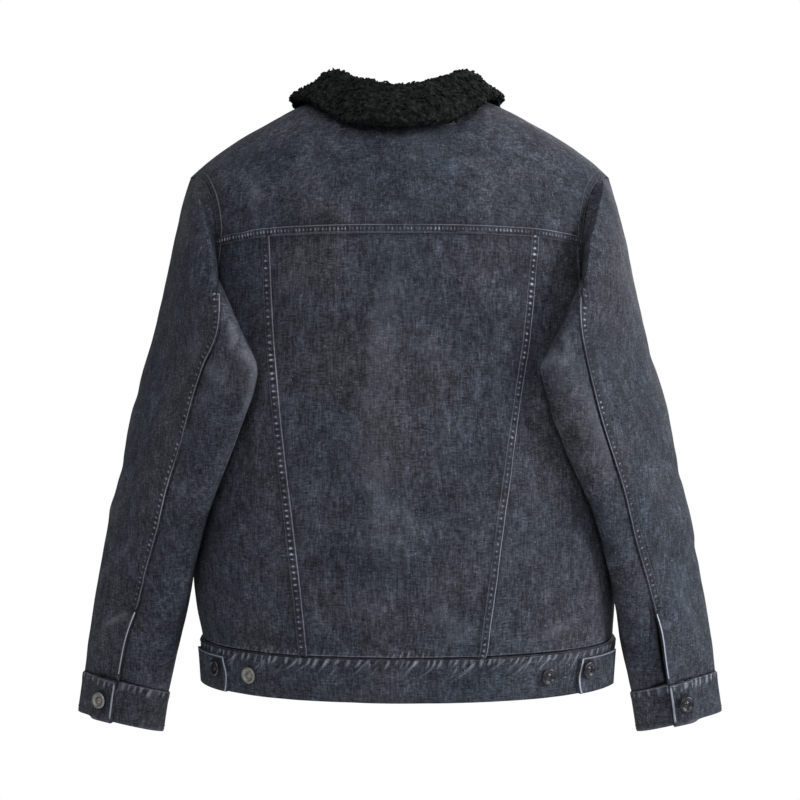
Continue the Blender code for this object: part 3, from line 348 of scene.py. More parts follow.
def curly_pile():
    """Polyester sherpa, tumbled to curls: near black, no gloss, painted highlight on its lumps."""
    material, shader = new_material("black_sherpa_pile", Roughness=1.0, Specular_IOR_Level=0.1)
    place = add(material, "TexCoord").outputs["Object"]
    lumps = add(material, "TexNoise", Vector=place, Scale=PILE_LUMPS, Detail=3, Roughness=0.6)
    # The colour follows the lumps that also raise the bump, so their tops carry a painted
    # highlight.
    colour = add(material, "ValToRGB", Fac=lumps,
                 stops=((0.34, "#050605"), (0.50, "#0e100f"), (0.66, "#222523")))
    fibres = add(material, "TexNoise", Vector=place, Scale=PILE_FIBRES, Detail=2, Roughness=0.6)
    height = add(material, "Math", {"operation": "MULTIPLY_ADD"}, i0=lumps, i1=2.0, i2=fibres)
    bump = add(material, "Bump", Height=height, Strength=0.8, Distance=1.2 * MM)
    fill(material, shader, Base_Color=colour, Normal=bump)
    return material


def cotton_thread():
    """Core-spun topstitching thread, dyed black with the cloth: matt and a little darker."""
    return new_material("black_topstitch_thread", Roughness=0.8, Base_Color=linear("#24262b"))[0]


def gunmetal(name, low, high, roughness):
    """Zinc button, plated and antiqued: dark metal with a speckled, rubbed face."""
    material, shader = new_material(name, Roughness=roughness, Metallic=1.0)
    place = add(material, "TexCoord").outputs["Object"]
    speckle = add(material, "TexNoise", Vector=place, Scale=ANTIQUING, Detail=2, Roughness=0.6)
    colour = add(material, "ValToRGB", Fac=speckle, stops=((0.40, low), (0.62, high)))
    fill(material, shader, Base_Color=colour)
    return material


DENIM = washed_denim()
PILE = curly_pile()
THREADS = cotton_thread()
DARK_METAL = gunmetal("gunmetal_plated_zinc", "#2c2c2f", "#45454a", 0.36)
PEWTER = gunmetal("rubbed_pewter_zinc", "#62625f", "#918f8c", 0.60)

# ------------------------------------------------------------------ pieces from the walls


def new_piece(name, mesh, slot, *materials):
    """Turns a bmesh into a shown piece that goes with the jacket."""
    data = finished(name, mesh)
    for material in materials:
        data.materials.append(material)
    for face in data.polygons:
        face.use_smooth = True
    piece = shown(name, data)
    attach(piece, "root")
    return piece


def merged_copy(node):
    """The node's own wall as quads, its triangles joined up again."""
    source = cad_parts[node]
    mesh = bmesh.new()
    mesh.from_mesh(source.data)
    mesh.transform(source.matrix_world)
    bmesh.ops.remove_doubles(mesh, verts=mesh.verts[:], dist=0.01 * MM)
    bmesh.ops.join_triangles(mesh, faces=mesh.faces[:], angle_face_threshold=math.radians(50),
                             angle_shape_threshold=math.radians(75))
    return mesh


def sides_of(mesh, axis_point, bend):
    """Marks the faces: 0 the outer side, 1 the inner side, 2 the edges; edges get a crease."""
    crease = mesh.edges.layers.float.new("crease_edge")
    sharp = {edge for edge in mesh.edges if edge.calc_face_angle(0.0) > math.radians(bend)}
    for edge in sharp:
        edge[crease] = 1.0
    left = set(mesh.faces)
    islands = []
    while left:
        queue = [left.pop()]
        island = []
        while queue:
            face = queue.pop()
            island.append(face)
            for edge in face.edges:
                if edge not in sharp:
                    for other in edge.link_faces:
                        if other in left:
                            left.discard(other)
                            queue.append(other)
        islands.append(island)
    islands.sort(key=lambda island: -sum(face.calc_area() for face in island))
    facing = []
    for island in islands[:2]:
        facing.append(sum(
            face.normal.dot(face.calc_center_median() - axis_point(face.calc_center_median()))
            for face in island))
    outer = 0 if facing[0] > facing[1] else 1
    inner_verts = {vert for face in islands[1 - outer] for vert in face.verts}
    for number, island in enumerate(islands):
        touches = any(vert in inner_verts for face in island for vert in face.verts)
        for face in island:
            face.material_index = (2 if touches else 0) if number > 1 else int(number != outer)
    for edge in sharp:
        if all(face.material_index == 0 for face in edge.link_faces):
            edge[crease] = 0.0


def body_axis(point):
    return Vector((0.0, 0.0, min(point.z, BODY_MIDDLE)))


def sleeve_axis(point):
    part = (SLEEVE_START.z - point.z) / (SLEEVE_START.z - SLEEVE_END.z)
    middle = SLEEVE_START.lerp(SLEEVE_END, min(max(part, 0.0), 1.0))
    return Vector((math.copysign(middle.x, point.x), middle.y, point.z))


def rows_of(items, name, width=3, kind=float):
    """One value of every vertex or edge, a row each."""
    values = np.empty(len(items) * width, kind)
    items.foreach_get(name, values)
    return values.reshape(-1, width)


def baked(piece):
    """Applies the piece's modifiers."""
    depsgraph = bpy.context.evaluated_depsgraph_get()
    data = bpy.data.meshes.new_from_object(piece.evaluated_get(depsgraph))
    piece.modifiers.clear()
    old, piece.data = piece.data, data
    bpy.data.meshes.remove(old)


def shell(node, axis_point, levels=SHELL_LEVELS, bend=52, material=DENIM, slot="denim"):
    """The node's wall as smooth cloth, with denim outside and pile inside."""
    mesh = merged_copy(node)
    sides_of(mesh, axis_point, bend)
    group = mesh.verts.layers.deform.new()
    for face in mesh.faces:
        if face.material_index == 1:
            for vert in face.verts:
                if all(other.material_index == 1 for other in vert.link_faces):
                    vert[group][0] = 1.0
    piece = new_piece(node + "_cloth", mesh, slot, material, PILE, material)
    piece.vertex_groups.new(name="inside")
    smooth = piece.modifiers.new("smooth", "SUBSURF")
    smooth.levels = smooth.render_levels = FIT_LEVELS
    wanted = rows_of(piece.data.vertices, "co")
    kept = wanted.copy()
    held = 0.0 if node in BODY else smoothstep(FIT_START, FIT_FULL, wanted[:, 2:])
    for _ in range(FIT_STEPS):
        fitted = piece.evaluated_get(bpy.context.evaluated_depsgraph_get()).data
        kept += held * (wanted - rows_of(fitted.vertices, "co")[:len(wanted)])
        piece.data.vertices.foreach_set("co", kept.ravel())
        piece.data.update()
    smooth.levels = smooth.render_levels = levels
    baked(piece)
    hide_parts(node)
    return piece


def sink_inside(cloth):
    """Keeps the inner side a wall's thickness behind the outer side at tight folds."""
    outside = np.nonzero(cloth.outer)[0]
    tree = kd_tree(cloth.points[outside])
    for index in np.nonzero(~cloth.outer & ~cloth.edge)[0]:
        near = outside[tree.find(cloth.points[index])[1]]
        normal = cloth.normals[near]
        off = (cloth.points[index] - cloth.points[near]) @ normal
        if off > -CLOTH_DEPTH:
            cloth.points[index] -= (off + CLOTH_DEPTH) * normal


def thin_inside(piece):
    """Lets the inner side keep fewer faces, since nothing fine lies on it."""
    total = len(piece.data.polygons)
    inner = sum(1 for face in piece.data.polygons if face.material_index == 1)
    thin = piece.modifiers.new("thin", "DECIMATE")
    kept = SLEEVE_INNER_KEPT if "sleeve" in piece.name else INNER_KEPT
    thin.ratio = 1.0 - (1.0 - kept) * inner / total
    thin.vertex_group = "inside"
    baked(piece)


class Cloth:
    """Points, normals and sides of a piece, for shaping it."""

    def __init__(self, piece):
        data = piece.data
        count = len(data.vertices)
        self.piece = piece
        self.points = rows_of(data.vertices, "co")
        self.normals = rows_of(data.vertices, "normal")
        self.outer = np.zeros(count, bool)
        self.edge = np.zeros(count, bool)
        self.faces = []
        for face in data.polygons:
            if face.material_index == 0:
                self.outer[list(face.vertices)] = True
                self.faces.append(tuple(face.vertices))
            elif face.material_index == 2:
                self.edge[list(face.vertices)] = True
        # Lighter where the cloth is worn, darker where shade is painted.
        self.wear_and_shade = np.zeros(count)

    def rim(self):
        return self.points[self.outer & self.edge]

    def store(self):
        data = self.piece.data
        data.vertices.foreach_set("co", self.points.ravel())
        layer = data.attributes.new("wear_and_shade", "FLOAT", "POINT")
        layer.data.foreach_set("value", self.wear_and_shade)
        data.update()


def crease_depths(points, normals):
    """How far the soft folds move each point along its normal."""
    moved = np.zeros(len(points))
    for side, creases in CREASES.items():
        towards, column = SEEN_FROM[side]
        seen = smoothstep(0.15, 0.55, normals @ np.array(towards))
        if not seen.any():
            continue
        # Each fold bows a little, and fades past its sides and towards its ends.
        for crease in creases:
            start = np.array((crease.across_a, crease.up_a)) * MM
            way = np.array((crease.across_b, crease.up_b)) * MM - start
            width = crease.width * MM
            length = np.linalg.norm(way)
            flat = points[:, (column, 2)] - start
            along = flat @ way / length
            part = np.clip(along / length, 0.0, 1.0)
            bow = 0.06 * length * np.sin(part * math.pi)
            off = (flat[:, 0] * way[1] - flat[:, 1] * way[0]) / length + bow
            past = along - part * length
            taper = np.sin(np.clip(part, 0.06, 0.94) * math.pi) ** 0.6
            reach = np.exp(-(off / width) ** 2 - (past / (width * 1.3)) ** 2)
            moved += crease.depth * MM * taper * reach * seen
    return moved


def rounded_wear(cloth):
    """Wears the tight outward folds light, where the cloth rubs."""
    ends = rows_of(cloth.piece.data.edges, "vertices", 2, int)
    points = cloth.points
    lengths = np.linalg.norm(points[ends[:, 0]] - points[ends[:, 1]], axis=1)
    total, count, size = np.zeros_like(points), np.zeros(len(points)), np.zeros(len(points))
    for here, there in ((0, 1), (1, 0)):
        np.add.at(total, ends[:, here], points[ends[:, there]])
        np.add.at(count, ends[:, here], 1.0)
        np.add.at(size, ends[:, here], lengths ** 2)
    count = np.maximum(count, 1.0)
    pulled = points - total / count[:, None]
    bend = (pulled * cloth.normals).sum(1) / np.maximum(size / count, 1e-9) * 4.0
    worn = 0.10 * smoothstep(RUBBED_FROM, RUBBED_MOST, bend)
    cloth.wear_and_shade += np.where(cloth.outer & ~cloth.edge, worn, 0.0)


def soften(cloth, amount):
    """Lays the soft folds and the slight unevenness of washed cloth on a piece."""
    depths = crease_depths(cloth.points, cloth.normals) * amount
    # Waves about 50 mm long, with smaller ones of 20 mm.
    waves = np.array([noise.noise(Vector(point) * 19.0) + 0.4 * noise.noise(Vector(point) * 52.0)
                      for point in cloth.points])
    depths += waves * WAVE_DEPTH * amount
    moved = np.where(cloth.outer, depths, 0.0)
    cloth.points = cloth.points + cloth.normals * moved[:, None]
    # Fold ridges turn lighter as worn cloth; fold troughs darken with painted shade.
    cloth.wear_and_shade += np.where(cloth.outer, np.clip(depths / (3.0 * MM), -1.0, 1.0) * 0.10, 0.0)


# ------------------------------------------------------------------ lines of the seams


def even(points, pitch):
    """Evenly spaced points along a line, with its small kinks smoothed out."""
    points = np.array(points)
    for _ in range(3):
        points[1:-1] = (points[:-2] + 2 * points[1:-1] + points[2:]) / 4
    steps = walked(points)
    keep = np.concatenate(([True], np.diff(steps) > 1e-6))
    places = np.linspace(0.0, steps[-1], max(int(steps[-1] / pitch), 2) + 1)
    return np.stack([np.interp(places, steps[keep], points[keep][:, axis])
                     for axis in range(3)], 1)


def straightened(points, key, steps=90):
    """One point for each short step along a line, its stray points left aside."""
    points = np.array(sorted(points, key=key))
    values = np.array([key(point) for point in points])
    places = np.linspace(values[0], values[-1] + 1e-9, steps + 1)
    kept = [points[0]]
    for start, end in zip(places[:-1], places[1:]):
        inside = (values >= start) & (values < end)
        if inside.any():
            kept.append(np.median(points[inside], axis=0))
    return kept + [points[-1]]


def shared_line(firsts, seconds, order, reach=1.3 * MM, wanted=None):
    """Line along which two sets of pieces meet, in the order of a key."""
    tree = kd_tree(np.concatenate([CLOTHS[name].points for name in seconds]))
    found = []
    for name in firsts:
        for point in CLOTHS[name].rim():
            if tree.find(point)[2] < reach and (wanted is None or wanted(point)):
                found.append(point)
    return straightened(found, order)


def tangents_along(points):
    tangents = np.gradient(points, axis=0)
    return tangents / np.linalg.norm(tangents, axis=1)[:, None]


def sides_along(points, tree, towards):
    """Direction across the cloth, to one side of a line, at each of its points."""
    tangents = tangents_along(points)
    normals = np.array([tree.find_nearest(Vector(point) + towards(point) * 3.0 * MM)[1]
                        for point in points])
    sides = np.cross(normals, tangents)
    sides /= np.linalg.norm(sides, axis=1)[:, None]
    middle = len(points) // 2
    return -sides if np.dot(sides[middle], towards(points[middle])) < 0 else sides


def laid_strip(name, points, cloth_tree, towards, width, profile, across):
    """Strip of cloth that follows a line and lies on the cloth beside it.

    profile(share across, place along) gives its height and its tone, worn lighter or darkened by
    painted shade.
    """
    sides = sides_along(points, cloth_tree, towards)
    steps = walked(points)
    mesh = bmesh.new()
    wear_and_shade = mesh.verts.layers.float.new("wear_and_shade")
    bmesh.ops.create_grid(mesh, x_segments=across, y_segments=len(points) - 1, size=0.5)
    for vert in mesh.verts:
        share = vert.co.x + 0.5
        row = round((vert.co.y + 0.5) * (len(points) - 1))
        spot = Vector(points[row] + sides[row] * width * share)
        place, normal, _, _ = cloth_tree.find_nearest(spot)
        height, vert[wear_and_shade] = profile(share, steps[row])
        vert.co = place + normal * height
    mesh.normal_update()
    outward = sum(face.normal.dot(cloth_tree.find_nearest(face.calc_center_median())[1])
                  for face in list(mesh.faces)[::7])
    if outward < 0:
        bmesh.ops.reverse_faces(mesh, faces=mesh.faces[:])
    return new_piece(name, mesh, "denim", DENIM)


def slow(seed, place):
    """Slow, uneven change along a seam, about -1 to 1."""
    return 1.6 * noise.noise(Vector((place * 21.0, seed * 7.31, 0.5)))


def hump(place, centre, half):
    return math.exp(-((place - centre) / half) ** 2)


MOST_PUCKERS = 600          # more than any felled seam has


def fell_profile(seed, fell, length):
    """Cross-section of a felled seam: its two edges, and puckers between its stitch rows."""
    dice = random.Random(seed)
    strengths = [dice.uniform(0.35, 1.0) for _ in range(MOST_PUCKERS)]
    shifts = [dice.uniform(-0.12, 0.12) for _ in range(MOST_PUCKERS)]
    half = min(0.27 * fell.pitch, 1.45 * MM)

    def profile(share, along):
        place = share * FELL_WIDTH
        height = mix(-0.45 * MM, FELL_HEIGHT, smoothstep(-0.1 * MM, 0.9 * MM, place))
        height -= (FELL_HEIGHT + 0.4 * MM) * smoothstep(8.8 * MM, FELL_WIDTH, place)
        for row in (ROW_INSET, FELL_WIDTH - ROW_INSET):
            height -= 0.25 * MM * hump(place, row, 0.6 * MM)
        cell = along / fell.pitch
        number = int(cell)
        dot = hump((cell - number - 0.5 + shifts[number]) * fell.pitch, 0.0, half)
        window = hump(place, 0.5 * FELL_WIDTH, 2.7 * MM)
        height += 0.45 * MM * window * strengths[number] * (dot - 0.4)
        patch = min(max(0.85 + 0.5 * slow(seed, along), 0.62), 1.1)
        patch *= 1.0 + fell.swell * smoothstep(length - 0.11, length - 0.03, along)
        wear_and_shade = fell.near * hump(place, 0.9 * MM, 0.60 * MM) * (1.0 + 0.5 * slow(seed + 50, along))
        wear_and_shade += fell.far * hump(place, 9.2 * MM, 0.60 * MM) * (1.0 + 0.6 * slow(seed + 80, along))
        wear_and_shade += fell.dots * window * dot * strengths[number] * patch
        # Painted shade between the stitch rows, left off the puckers' tops.
        shade = smoothstep(1.5 * MM, 2.8 * MM, place)
        shade *= 1.0 - smoothstep(7.6 * MM, 8.9 * MM, place)
        wear_and_shade -= 0.60 * shade * (1.0 - window * dot)
        # Painted shadow along both folded edges of the band.
        wear_and_shade -= 0.8 * hump(place, 0.0, 0.40 * MM) + 0.6 * hump(place, FELL_WIDTH, 0.6 * MM)
        return height, wear_and_shade
    return profile


# Puckers a band's seam draws into the cloth: pitch, lean along the band for each length
# across it, where they start and end below the seam, their half width and how light they are.
Puckers = namedtuple("Puckers", "pitch lean start end half light")
WAIST_PUCKERS = (
    Puckers(8.2 * MM, -0.55, 1.6 * MM, 11.0 * MM, 1.50 * MM, 0.50),
    Puckers(34.0 * MM, -1.20, 5.0 * MM, 24.0 * MM, 1.2 * MM, 0.42),
    Puckers(29.0 * MM, -0.90, 12.0 * MM, 24.0 * MM, 1.5 * MM, 0.28),
)
CUFF_PUCKERS = (Puckers(8.4 * MM, -0.2, 1.8 * MM, 11.0 * MM, 1.9 * MM, 0.52),)
BODY_PUCKERS = (Puckers(6.5 * MM, 0.45, 0.5 * MM, 9.0 * MM, 0.8 * MM, 0.40),)
LONGEST_SEAM = 1.6          # the puckers are drawn for seams up to this long
PUCKER_CELL = 0.01          # and looked up by stretches of this length


def gather_profile(seed, width, kinds, at=None):
    """Cross-section of the uneven slanted puckers under a band's seam."""
    dice = random.Random(seed)
    cells = {}
    for kind in kinds:
        place = 0.0
        while place < LONGEST_SEAM:
            reach = mix(kind.start, kind.end, dice.uniform(0.45, 1.0))
            lean = kind.lean * dice.uniform(0.45, 1.4)
            start = kind.start * dice.uniform(0.5, 1.3)
            half = kind.half * dice.uniform(0.7, 1.35)
            light = kind.light * dice.uniform(0.40, 1.0)
            first = int((place - 0.03) / PUCKER_CELL)
            last = int((place + 0.02) / PUCKER_CELL)
            for cell in range(first, last + 1):
                cells.setdefault(cell, []).append((place, lean, start, reach, half, light))
            place += kind.pitch * dice.uniform(0.55, 1.5)

    def profile(share, along):
        place = share * width
        height, wear_and_shade = 0.10 * MM, 0.0
        for start, lean, top, end, half, light in cells.get(int(along / PUCKER_CELL), ()):
            if place > end * 1.3:
                continue
            off = along - start - lean * place * (0.45 + 0.55 * place / end)
            window = smoothstep(0.3 * top, top, place)
            window *= 1.0 - smoothstep(0.55 * end, 1.1 * end, place)
            height += 0.5 * MM * hump(off, 0.0, half) * window
            wear_and_shade += light * hump(off, 0.0, half) * window
            # Painted shade on one side of each pucker.
            wear_and_shade -= 0.6 * light * hump(off, -1.9 * half, 1.2 * half) * window
        amount = 1.0 if at is None else at(along)
        seam = 0.32 * (1.0 + 0.6 * slow(seed, along)) * hump(place, 0.9 * MM, 0.4 * MM)
        # Painted shadow in the seam line itself.
        seam -= 0.9 * hump(place, 0.0, 0.45 * MM)
        if share < 0.02 or share > 0.98:
            return -0.35 * MM, seam
        return height * amount, seam + wear_and_shade * amount
    return profile


def worn_edge(name, points, tree, towards, width=1.7 * MM, brightness=0.8):
    """Folded edge that is rubbed pale along its whole length."""
    def profile(share, along):
        return (0.35 * MM * math.sin(math.pi * min(share * 1.1, 1.0)) - 0.10 * MM,
                brightness * (0.85 + 0.3 * slow(3, along)))
    return laid_strip(name, points, tree, towards, width, profile, across=4)


# ------------------------------------------------------------------ small repeated shapes


def repeated(name, template, places, slot, material):
    """One piece made of many copies of a small shape."""
    mesh = bmesh.new()
    for place in places:
        copy = template.copy()
        copy.transform(place)
        mesh.from_mesh(copy)
        bpy.data.meshes.remove(copy)
    return new_piece(name, mesh, slot, material)


def stitch_shape():
    """One stitch of thread along X, thinner where it dives into the cloth."""
    mesh = bmesh.new()
    bmesh.ops.create_cone(mesh, cap_ends=True, segments=4, radius1=THREAD, radius2=THREAD,
                          depth=STITCH_LENGTH * 0.62, matrix=Matrix.Rotation(math.pi / 2, 4, "Y"))
    ends = [face for face in mesh.faces if abs(face.normal.x) > 0.9]
    for end in ends:
        sign = math.copysign(1.0, end.calc_center_median().x)
        grown = bmesh.ops.extrude_face_region(mesh, geom=[end])
        bmesh.ops.delete(mesh, geom=[end], context="FACES_ONLY")
        verts = [item for item in grown["geom"] if isinstance(item, bmesh.types.BMVert)]
        bmesh.ops.scale(mesh, verts=verts, vec=(1.0, 0.4, 0.4))
        bmesh.ops.translate(mesh, verts=verts,
                            vec=(sign * STITCH_LENGTH * 0.19, 0.0, -0.5 * THREAD))
    bmesh.ops.recalc_face_normals(mesh, faces=mesh.faces[:])
    return finished("stitch", mesh)


def stitch_places(points, tree, lift=0.15 * MM):
    """Places of the stitches along a line that lies on the cloth, lifted a little off it."""
    points = even(points, STITCH_PITCH)
    tangents = tangents_along(points)
    dice = random.Random(len(points) + SEED)
    places = []
    for point, tangent in zip(points, tangents):
        spot, normal, _, _ = tree.find_nearest(Vector(point))
        along = (Vector(tangent) - normal * normal.dot(Vector(tangent))).normalized()
        along.rotate(Matrix.Rotation(dice.uniform(-STITCH_TILT, STITCH_TILT), 3, normal))
        across = normal.cross(along)
        turn = Matrix((along, across, normal)).transposed().to_4x4()
        places.append(Matrix.Translation(spot + normal * lift) @ turn)
    return places


def shifted(points, tree, towards, amount):
    """A line moved sideways over the cloth."""
    return points + sides_along(points, tree, towards) * amount


def curl_shape(turns, tube, seed):
    """One curl of pile: a short round lock bent into a hook."""
    dice = random.Random(seed)
    mesh = bmesh.new()
    ring = bmesh.ops.create_circle(mesh, cap_ends=False, segments=5, radius=tube,
                                   matrix=Matrix.Rotation(math.pi / 2, 4, "X"))["verts"]
    bmesh.ops.translate(mesh, verts=ring, vec=(CURL, 0.0, 0.0))
    bmesh.ops.spin(mesh, geom=ring + mesh.edges[:], cent=(0, 0, 0), axis=(0, 0, 1),
                   dvec=(0, 0, 0.10 * CURL), angle=turns * 2 * math.pi, steps=5, use_merge=False)
    for vert in mesh.verts:
        vert.co += noise.noise_vector(vert.co * 300.0 + Vector((seed, 0, 0))) * 0.25 * CURL
    for edge in [edge for edge in mesh.edges if edge.is_boundary]:
        for vert in edge.verts:
            vert.co *= 0.96
    bmesh.ops.holes_fill(mesh, edges=mesh.edges[:], sides=5)
    bmesh.ops.recalc_face_normals(mesh, faces=mesh.faces[:])
    mesh.transform(Matrix.Rotation(dice.uniform(0, math.pi), 4, "Z"))
    return finished("curl", mesh)


# ------------------------------------------------------------------ the jacket's cloth

CLOTHS = {}


def make_shells():
    """Every sewn piece as smooth cloth on its own wall."""
    for node in BODY:
        CLOTHS[node] = Cloth(shell(node, body_axis))
    for side in SIDES:
        for part in ("sleeve_outer_", "sleeve_under_", "cuff_"):
            CLOTHS[part + side] = Cloth(shell(part + side, sleeve_axis))
        CLOTHS["hem_tab_" + side] = Cloth(shell("hem_tab_" + side, body_axis))
    for node in BANDS:
        CLOTHS[node] = Cloth(shell(node, body_axis))
    for node, cloth in CLOTHS.items():
        firm = node in BANDS or "tab" in node or "cuff" in node
        soften(cloth, 0.35 if firm else 1.0)


def tree_of(*nodes):
    """Search tree over the outer sides of some pieces."""
    points, faces = [], []
    for node in nodes:
        cloth = CLOTHS[node]
        first = len(points)
        points += [Vector(point) for point in cloth.points]
        faces += [tuple(index + first for index in face) for face in cloth.faces]
    return BVHTree.FromPolygons(points, faces)


def armhole_angle(point):
    return math.atan2(point[1], point[2] - ARMHOLE_MIDDLE)


def is_back_seam(point):
    """Whether a point of a sleeve's rim is on its back seam, above the slit."""
    return point[1] > 0.02 + 0.12 * max(point[2] + 0.45, 0.0) and point[2] > SLIT_TOP


def rim_levels(rim):
    """Heights of a cuff's rim points along the cuff, whose two ends are tilted."""
    slope = np.zeros(2)
    for _ in range(8):
        levels = rim[:, 2] - rim[:, :2] @ slope
        upper = levels > (levels.max() + levels.min()) / 2
        near = np.where(upper, levels.max() - levels, levels - levels.min()) < 9.0 * MM
        table = np.column_stack((rim[:, :2], upper, ~upper)).astype(float)
        slope = np.linalg.lstsq(table[near], rim[near, 2], rcond=None)[0][:2]
    return rim[:, 2] - rim[:, :2] @ slope


def seam_lines():
    """The jacket's seams: name, line, the pieces its band lies on, and which way that is."""
    def across(point):
        return point[0]

    def height(point):
        return point[2]

    left, front = always(Vector((1, 0, 0))), always(Vector((0, -1, 0)))
    lines = {"yoke": (shared_line(("back_yoke",), BACK_PANELS, across), BACK, always(UP))}
    for side, first, second in (("left", "back_side_left", "back_panel"),
                                ("right", "back_panel", "back_side_right")):
        line = shared_line((first,), (second,), height, 2.6 * MM)
        lines["back_" + side] = (line, (first, second), left)
    for side, sign in SIDES.items():
        outer, under = "sleeve_outer_" + side, "sleeve_under_" + side
        away = Vector((sign, 0, 0))
        back = shared_line((outer,), (under,), height, 3.5 * MM, is_back_seam)
        lines["sleeve_" + side] = (back, (outer,), always(away))
        body = ("back_yoke", "back_side_" + side, "front_" + side)
        armhole = shared_line(body, (outer, under), armhole_angle, 4.0 * MM)
        lines["armhole_" + side] = (armhole, body, always(-away))
        shoulder = shared_line(("front_" + side,), ("back_yoke",), across)
        lines["shoulder_" + side] = (shoulder, ("front_" + side,), front)
    return lines


def make_felled_seams():
    """Flat-felled seams with their puckers and two rows of stitches."""
    lines = seam_lines()
    rows = []
    for number, (name, (line, nodes, towards)) in enumerate(sorted(lines.items())):
        tree = tree_of(*nodes)
        fell = FELLS[name if name in FELLS else name.rsplit("_", 1)[0]]
        points = even(line, LINE_STEP)
        if fell.start:
            points = even(shifted(points, tree, towards, fell.start), LINE_STEP)
        strip = laid_strip("felled_seam_" + name, points, tree, towards, FELL_WIDTH,
                           fell_profile(SEED + number, fell, walked(points)[-1]), across=14)
        top = BVHTree.FromObject(strip, bpy.context.evaluated_depsgraph_get())
        for inset in (ROW_INSET, FELL_WIDTH - ROW_INSET):
            rows += stitch_places(shifted(points, tree, towards, inset), top)
        middle = shifted(points, tree, towards, 0.5 * FELL_WIDTH)
        # Painted shade darkens the cloth beside each seam.
        for cloth in CLOTHS.values():
            paint_shade_beside_seam(cloth, middle, 6.2 * MM, fell.dark)
    return rows


def paint_shade_beside_seam(cloth, line, width, amount):
    """Painted shade, darkened into the cloth's colour in the ditch beside a seam."""
    tree = kd_tree(line)
    low, high = line.min(0) - DITCH_REACH, line.max(0) + DITCH_REACH
    inside = np.all((cloth.points > low) & (cloth.points < high), axis=1) & cloth.outer
    for index in np.nonzero(inside)[0]:
        distance = tree.find(cloth.points[index])[2]
        if distance < DITCH_REACH:
            cloth.wear_and_shade[index] -= amount * hump(distance, 0.0, width)


def paint_shade_under_sleeves():
    """Painted shade under the arms, darkened into the body's colour where the sleeves shade its
    sides.
    """
    for node in ("back_side_left", "back_side_right") + FRONTS:
        cloth = CLOTHS[node]
        across, height = np.abs(cloth.points[:, 0]), cloth.points[:, 2]
        reach = smoothstep(0.130, 0.200, across) * smoothstep(-0.560, -0.420, height)
        cloth.wear_and_shade -= 0.30 * reach * (1.0 - smoothstep(-0.200, -0.120, height))


def points_of(node):
    """The points of a node's own solid."""
    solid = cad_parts[node]
    return [solid.matrix_world @ vert.co for vert in solid.data.vertices]


def sink_buttons():
    """Cloth drawn in round each button that holds two layers, with painted shade in the dent."""
    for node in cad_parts:
        if not node.startswith(("tab_button", "cuff_button")):
            continue
        centre = np.array(points_of(node)).mean(0)
        cloth = CLOTHS[node.replace("tab_button", "hem_tab").replace("cuff_button", "cuff")]
        away = np.linalg.norm(cloth.points - centre, axis=1)
        near = np.exp(-((away - 7.0 * MM) / (4.5 * MM)) ** 2) * cloth.outer
        # Painted shade in the dent round the button.
        cloth.wear_and_shade -= 0.6 * near
        cloth.points = cloth.points - cloth.normals * (0.7 * MM * near)[:, None]


def turn_about(point):
    return math.atan2(point[1], point[0])


def band_rows(top, low, tree):
    """Stitch rows along the seam and the lower edge of a band."""
    low = even(low, BAND_STEP)
    return (stitch_places(shifted(top, tree, always(DOWN), BAND_INSET), tree, 0.45 * MM)
            + stitch_places(shifted(low, tree, always(UP), HEM_INSET), tree))


def sew_waistband():
    """Puckers below and above the waistband's seam, and its stitch rows."""
    waist = CLOTHS["waistband"]
    rim = waist.rim()
    tree = tree_of("waistband")
    body = tree_of(*BODY)
    top = even(sorted((p for p in rim if p[2] > BAND_TOP), key=turn_about), 1.1 * MM)
    low = sorted((p for p in rim if p[2] < BAND_FOOT), key=turn_about)
    steps = walked(top)

    def drawn(along):
        return 0.5 + 0.5 * smoothstep(-0.02, 0.02, np.interp(along, steps, top[:, 1]))
    laid_strip("waistband_gathers", top, tree, always(DOWN), GATHER_WIDTH,
               gather_profile(SEED, GATHER_WIDTH, WAIST_PUCKERS, drawn), across=18)
    above = np.array([list(body.find_nearest(Vector(p) + UP * 0.5 * MM)[0]) for p in top])
    above = even(above, BAND_STEP)
    steps_above = walked(above)

    def gathered(along):
        x = np.interp(along, steps_above, above[:, 0])
        y = np.interp(along, steps_above, above[:, 1])
        if y < 0:
            return 0.6
        # The back is drawn in most at its middle, and next beside the left tab.
        return 0.3 + 1.1 * hump(x, -0.008, 0.018) + 0.5 * hump(x, 0.130, 0.050)
    laid_strip("body_gathers", above, body, always(UP), CUFF_GATHER,
               gather_profile(SEED + 1, CUFF_GATHER, BODY_PUCKERS, gathered), across=10)
    # Painted shade along both sides of the waist seam, on the band and on the body above it.
    paint_shade_beside_seam(waist, top, 3.0 * MM, 0.6)
    for node in BODY:
        paint_shade_beside_seam(CLOTHS[node], top, 7.0 * MM, 0.55)
    return band_rows(top, low, tree)


def wear_tab(side, outwards):
    """Rubbed edges of a waist tab: its tip, and its top."""
    rim = CLOTHS["hem_tab_" + side].rim()
    tree = tree_of("hem_tab_" + side)
    tip = min(abs(rim[:, 0]))
    tips = sorted((p for p in rim if abs(p[0]) < tip + 4.5 * MM), key=lambda p: p[2])
    worn_edge("tab_edge_" + side, even(tips, 0.8 * MM), tree, outwards, 2.3 * MM, 0.95)
    crown = sorted((p for p in rim if p[2] > TAB_TOP and abs(p[0]) > tip + 2 * MM
                    and p[1] > 0.03), key=turn_about)
    worn_edge("tab_top_" + side, even(crown, LINE_STEP), tree, always(DOWN), brightness=0.45)


def wear_slit(side, outwards):
    """Rubbed edge of a sleeve's slit above its cuff."""
    node = "sleeve_outer_" + side
    slit = straightened((p for p in CLOTHS[node].rim()
                         if SLIT_END < p[2] < SLIT_TOP and p[1] > 0.03), lambda p: p[2], 20)
    worn_edge("slit_edge_" + side, even(slit, LINE_STEP), tree_of(node), outwards, 2.0 * MM, 0.95)


